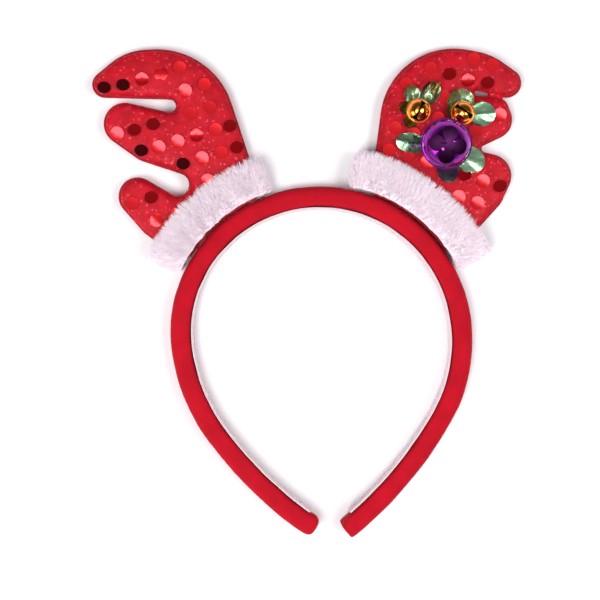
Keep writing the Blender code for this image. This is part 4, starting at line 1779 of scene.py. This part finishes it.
@dataclass
class Bell:
    """Jingle bell stamped from two half shells, with slots in its mouth and a sewing loop."""

    name: str
    node: str
    stock: BellStock
    tilt: float
    turn: float
    sides: int = 72
    loop_stand_off: float = 0.55

    @property
    def place(self) -> Vector:
        """Middle of the bell, from its CAD node's box.

        Returns:
            The place.
        """
        low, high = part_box(self.node)
        lift = self.stock.loop_radius * (1 + self.loop_stand_off) + self.stock.loop_wire + self.stock.radius
        return Vector(((low.x + high.x) / 2, (low.y + high.y) / 2, low.z + lift))

    def shells(self) -> Object:
        """Press the outer shell with its crimped rim, and the inner wall.

        Returns:
            The closed bell, at the origin with its mouth up.
        """
        bm = bmesh.new()
        half_rim = self.stock.rim_reach * 0.5
        mesh_size = {"u_segments": self.sides, "v_segments": self.sides // 2}
        bmesh.ops.create_uvsphere(bm, radius=self.stock.radius, **mesh_size)
        for level in (-half_rim, half_rim):
            geom = bm.verts[:] + bm.edges[:] + bm.faces[:]
            bmesh.ops.bisect_plane(bm, geom=geom, dist=1e-7, plane_co=(0, 0, level), plane_no=Z_AXIS)
        band = [face for face in bm.faces if abs(face.calc_center_median().z) < half_rim]
        raised = bmesh.ops.extrude_face_region(bm, geom=band)["geom"]
        grow = (self.stock.radius + self.stock.rim_reach) / self.stock.radius
        bmesh.ops.scale(bm, vec=(grow, grow, 1), verts=only(raised, BMVert))
        old = [face for face in band if face.is_valid]
        bmesh.ops.delete(bm, geom=old, context="FACES_ONLY")
        bmesh.ops.recalc_face_normals(bm, faces=bm.faces)
        mark = len(bm.faces)
        bmesh.ops.create_uvsphere(bm, radius=self.stock.radius - self.stock.wall, **mesh_size)
        bm.faces.ensure_lookup_table()
        bmesh.ops.reverse_faces(bm, faces=bm.faces[mark:])
        return to_piece(self.name, bm, turn_outwards=False)

    def cutters(self) -> list[Object]:
        """Make what the mouth is cut with.

        Returns:
            Bars for the slots and rods for the holes.
        """
        spread = self.stock.radius * math.sin(math.radians(self.stock.hole_latitude))
        depth = self.stock.radius * 1.2
        bars = max(1, self.stock.spokes // 2)
        made = []
        for index in range(bars):
            bm = bmesh.new()
            bmesh.ops.create_cube(bm, size=1.0)
            size = Matrix.Diagonal((2 * spread, self.stock.slot_width, depth, 1))
            lift = Matrix.Translation((0, 0, depth / 2 + self.stock.radius * 0.2))
            turn = Matrix.Rotation(math.pi * index / bars, 4, "Z")
            bmesh.ops.transform(bm, matrix=turn @ lift @ size, verts=bm.verts)
            made.append(to_piece("bar", bm))
        for index in range(self.stock.spokes):
            bm = bmesh.new()
            bmesh.ops.create_cone(
                bm,
                cap_ends=True,
                segments=40,
                radius1=self.stock.hole_diameter / 2,
                radius2=self.stock.hole_diameter / 2,
                depth=self.stock.radius,
            )
            turn = Matrix.Rotation(math.tau * index / self.stock.spokes, 4, "Z")
            tilt = Matrix.Rotation(math.radians(self.stock.hole_latitude), 4, "Y")
            lift = Matrix.Translation((0, 0, self.stock.radius))
            bmesh.ops.transform(bm, matrix=turn @ tilt @ lift, verts=bm.verts)
            made.append(to_piece("rod", bm))
        return made

    def loop(self, bm: BMesh) -> None:
        """Add the wire loop at the back.

        Args:
            bm: mesh whose bell is at the origin.
        """
        lift = -self.stock.radius - self.stock.loop_radius * self.loop_stand_off
        ring = bmesh.ops.create_circle(bm, segments=10, radius=self.stock.loop_wire)["verts"]
        edges = edges_round(ring)
        bmesh.ops.translate(bm, vec=(self.stock.loop_radius, 0, lift), verts=ring)
        axis = Vector((0, 1, 0))
        bmesh.ops.spin(
            bm, geom=ring + edges, cent=(0, 0, lift), axis=axis, angle=math.tau, steps=28, use_merge=True
        )

    def build(self, plating: Material) -> Object:
        """Build and dress the bell.

        Args:
            plating: its finish.

        Returns:
            The bell.
        """
        bell = self.shells()
        tools = self.cutters()
        for tool in tools:
            cut = bell.modifiers.new(tool.name, "BOOLEAN")
            cut.object = tool
            cut.operation = "DIFFERENCE"
            cut.solver = "EXACT"
        apply_modifiers(bell)
        for tool in tools:
            mesh = tool.data
            bpy.data.objects.remove(tool)
            bpy.data.meshes.remove(mesh)
        bm = bmesh.new()
        bm.from_mesh(bell.data)
        self.loop(bm)
        tilt = Matrix.Rotation(math.radians(-self.tilt), 4, "X")
        turn = Matrix.Rotation(math.radians(self.turn), 4, "Z")
        place = self.place
        matrix = Matrix.Translation(place) @ tilt @ turn
        bmesh.ops.transform(bm, matrix=matrix, verts=bm.verts)
        # Marks the shell's inside, which the finish paints darker as shade in the hollow
        inside = bm.verts.layers.float.new("inside")
        for vertex in bm.verts:
            vertex[inside] = float((vertex.co - place).length < self.stock.radius - self.stock.wall * 0.6)
        bm.to_mesh(bell.data)
        bm.free()
        bell.data.shade_smooth()
        bell.data.set_sharp_from_angle(angle=math.radians(38))
        finish_piece(bell, plating, self.stock.slot, [self.node])
        return bell


@dataclass(frozen=True)
class Softbox:
    """A soft light: its way from the headband in degrees, distance, side and strength in watts."""

    name: str
    toward: float
    off_zenith: float
    distance: float
    side: float
    power: float


@dataclass
class Studio:
    """Pale table, soft lights and the camera over it."""

    floor_side: float = 8.0
    floor_colour: str = "F4F3F5"
    sky_low: str = "A0A0A6"
    sky_dark: str = "545458"
    sky_top: str = "B4B4BA"
    sky_strength: float = 1.0
    boxes: tuple[Softbox, ...] = (
        Softbox("key_softbox", 225.0, 22.0, 1.3, 0.62, 13.0),
        Softbox("right_softbox", -8.0, 34.0, 1.3, 0.62, 10.0),
        Softbox("low_softbox", 208.0, 72.0, 1.5, 0.80, 8.0),
    )

    def floor(self) -> Object:
        """Lay the pale table top.

        Returns:
            The floor.
        """
        bm = bmesh.new()
        bmesh.ops.create_grid(bm, x_segments=2, y_segments=2, size=self.floor_side / 2)
        made = to_piece("floor", bm, turn_outwards=False)
        table, _, shader = new_material("pale_matt_card", {"Roughness": 0.9})
        shader.inputs["Base Color"].default_value = linear(self.floor_colour)
        made.data.materials.append(table)
        made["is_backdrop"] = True
        return made

    def sky(self) -> None:
        """Shade the room: pale overhead, dark round that and mid grey at the horizon."""
        world = bpy.data.worlds.new("room")
        bpy.context.scene.world = world
        world.use_nodes = True
        tree = world.node_tree
        back = tree.nodes["Background"]
        back.inputs["Strength"].default_value = self.sky_strength
        way = add_node(tree, "ShaderNodeTexCoord").outputs["Generated"]
        up = add_node(tree, "ShaderNodeSeparateXYZ", {}, {0: way}).outputs["Z"]
        low = span(tree, up, 0.16, 0.34, 0.0, 1.0)
        high = span(tree, up, 0.80, 0.96, 0.0, 1.0)
        ground = mix_colours(tree, low, linear(self.sky_low), linear(self.sky_dark))
        tree.links.new(mix_colours(tree, high, ground, linear(self.sky_top)), back.inputs["Color"])

    def lights(self) -> None:
        """Hang the softboxes, each facing the headband."""
        for box in self.boxes:
            lamp = bpy.data.lights.new(box.name, "AREA")
            lamp.shape = "SQUARE"
            lamp.size = box.side
            lamp.energy = box.power
            made = bpy.data.objects.new(box.name, lamp)
            bpy.context.scene.collection.objects.link(made)
            way = room_way(box.toward, box.off_zenith)
            made.location = way * box.distance
            made.rotation_euler = way.to_track_quat("Z", "Y").to_euler()

    def camera(self) -> None:
        """Set the camera straight above, as the photograph was taken."""
        lens = bpy.data.cameras.new("camera")
        lens.lens = lens.sensor_width * CAMERA_DISTANCE / PICTURE_WIDTH
        made = bpy.data.objects.new("camera", lens)
        made.location = CAMERA_PLACE
        bpy.context.scene.collection.objects.link(made)
        bpy.context.scene.camera = made

    def build(self) -> None:
        """Set up the whole studio, with colours shown as a plain photograph shows them."""
        bpy.context.scene.view_settings.view_transform = "Standard"
        self.camera()
        self.floor()
        self.sky()
        self.lights()


BENDS_LEFT = (
    Bend(0.494, 0.544, 0.528),  # shoulder
    Bend(0.566, 0.658, 0.390),  # crest
    Bend(0.903, 0.790, 0.088),  # top tip
    Bend(0.395, 0.669, 0.043, notch=True),  # upper notch
    Bend(0.748, 0.567, 0.142),  # middle tip
    Bend(0.550, 0.475, 0.151),  # middle underside
    Bend(0.328, 0.221, 0.075, notch=True),  # lower notch
    Bend(0.646, 0.153, 0.129),  # lower tip
    Bend(0.471, 0.042, 0.154),  # lower underside
)
BENDS_RIGHT = (
    Bend(0.317, 0.544, 0.495),  # shoulder
    Bend(0.420, 0.603, 0.411),  # crest
    Bend(0.737, 0.767, 0.097),  # top tip
    Bend(0.499, 0.710, 0.015, notch=True),  # upper notch
    Bend(0.658, 0.615, 0.081),  # middle corner
    Bend(0.626, 0.558, 0.130),  # middle tip
    Bend(0.566, 0.393, 0.024, notch=True),  # lower notch
    Bend(0.598, 0.238, 0.148),  # lower tip
    Bend(0.540, 0.153, 0.151),  # lower underside
)
SEAT_LEFT = Seat(foot_inner=25.9, foot_outer=56.5, cuff_outer=66.0)
SEAT_RIGHT = Seat(foot_inner=22.5, foot_outer=53.5, cuff_outer=64.4)

LOBES_LOWER = (
    Lobe(172.0, 24.0, 0.0212, 0.0006, 0.22),
    Lobe(-78.0, 34.0, 0.0160, 0.0010, 0.10),
    Lobe(-24.0, 34.0, 0.0200, -0.0004, 0.16),
)
LOBES_UPPER_RIGHT = (
    Lobe(92.0, 60.0, 0.0114, 0.0022, 0.06),
    Lobe(2.0, 40.0, 0.0152, 0.0006, 0.18),
    Lobe(158.0, 34.0, 0.0072, 0.0012, 0.05),
)
LOBES_UPPER_LEFT = (
    Lobe(56.0, 30.0, 0.0152, 0.0045, 0.16),
    Lobe(106.0, 30.0, 0.0124, 0.0026, 0.10),
    Lobe(160.0, 30.0, 0.0088, 0.0026, 0.10),
    Lobe(232.0, 34.0, 0.0082, 0.0018, 0.05),
)


def main() -> None:
    """Build and dress every piece of the headband."""
    logging.basicConfig(level=logging.INFO, format="%(message)s")
    Studio().build()
    hoop = Hoop()
    hoop.build(RibbedVelvet().material(), GrosgrainRibbon().material())
    knit = LurexKnit().material()
    # The rim's knit is darker than the pad's: painted shade along the antler's edge
    painted_shade_rim_knit = LurexKnit(name="red_lurex_knit_rim_painted_shade", deep="8A0A18", bright="AA0E20", dull=0.03).material()
    film = SequinFilm().material()
    plush = WhitePlush().material()
    layout = (
        (Side.LEFT, SEAT_LEFT, BENDS_LEFT, CHART_LEFT),
        (Side.RIGHT, SEAT_RIGHT, BENDS_RIGHT, CHART_RIGHT),
    )
    for side, seat, bends, chart in layout:
        antler = Antler(side, hoop, seat, bends, chart)
        antler.build(knit, painted_shade_rim_knit, film)
        Cuff(side, antler.base, seed=31 + side.value).build(plush)
    purple = Bell("bell_large", "bell_purple", LARGE_STOCK, tilt=-9.0, turn=-9.0)
    gold_right = Bell("bell_small_right", "bell_gold_right", SMALL_STOCK, tilt=4.0, turn=-36.0)
    gold_left = Bell("bell_small_left", "bell_gold_left", SMALL_STOCK, tilt=-6.0, turn=62.0)
    purple.build(PURPLE_PLATING.material())
    gold = GOLD_PLATING.material()
    gold_right.build(gold)
    gold_left.build(gold)
    green = GREEN_FOIL.material()
    leaves = (
        ("leaf_lower", "foil_lower", purple, LOBES_LOWER),
        ("leaf_upper_right", "foil_upper_right", gold_right, LOBES_UPPER_RIGHT),
        ("leaf_upper_left", "foil_upper_left", gold_left, LOBES_UPPER_LEFT),
    )
    for seed, (name, node, bell, lobes) in enumerate(leaves):
        spot = bell.place
        FoilLeaf(name, node, Vector((spot.x, spot.y, 0)), lobes, seed=seed + 5).build(green)
    sizes = [[list(corner) for corner in box] for box in (CAD_BOX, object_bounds())]


if __name__ == "__main__":
    main()
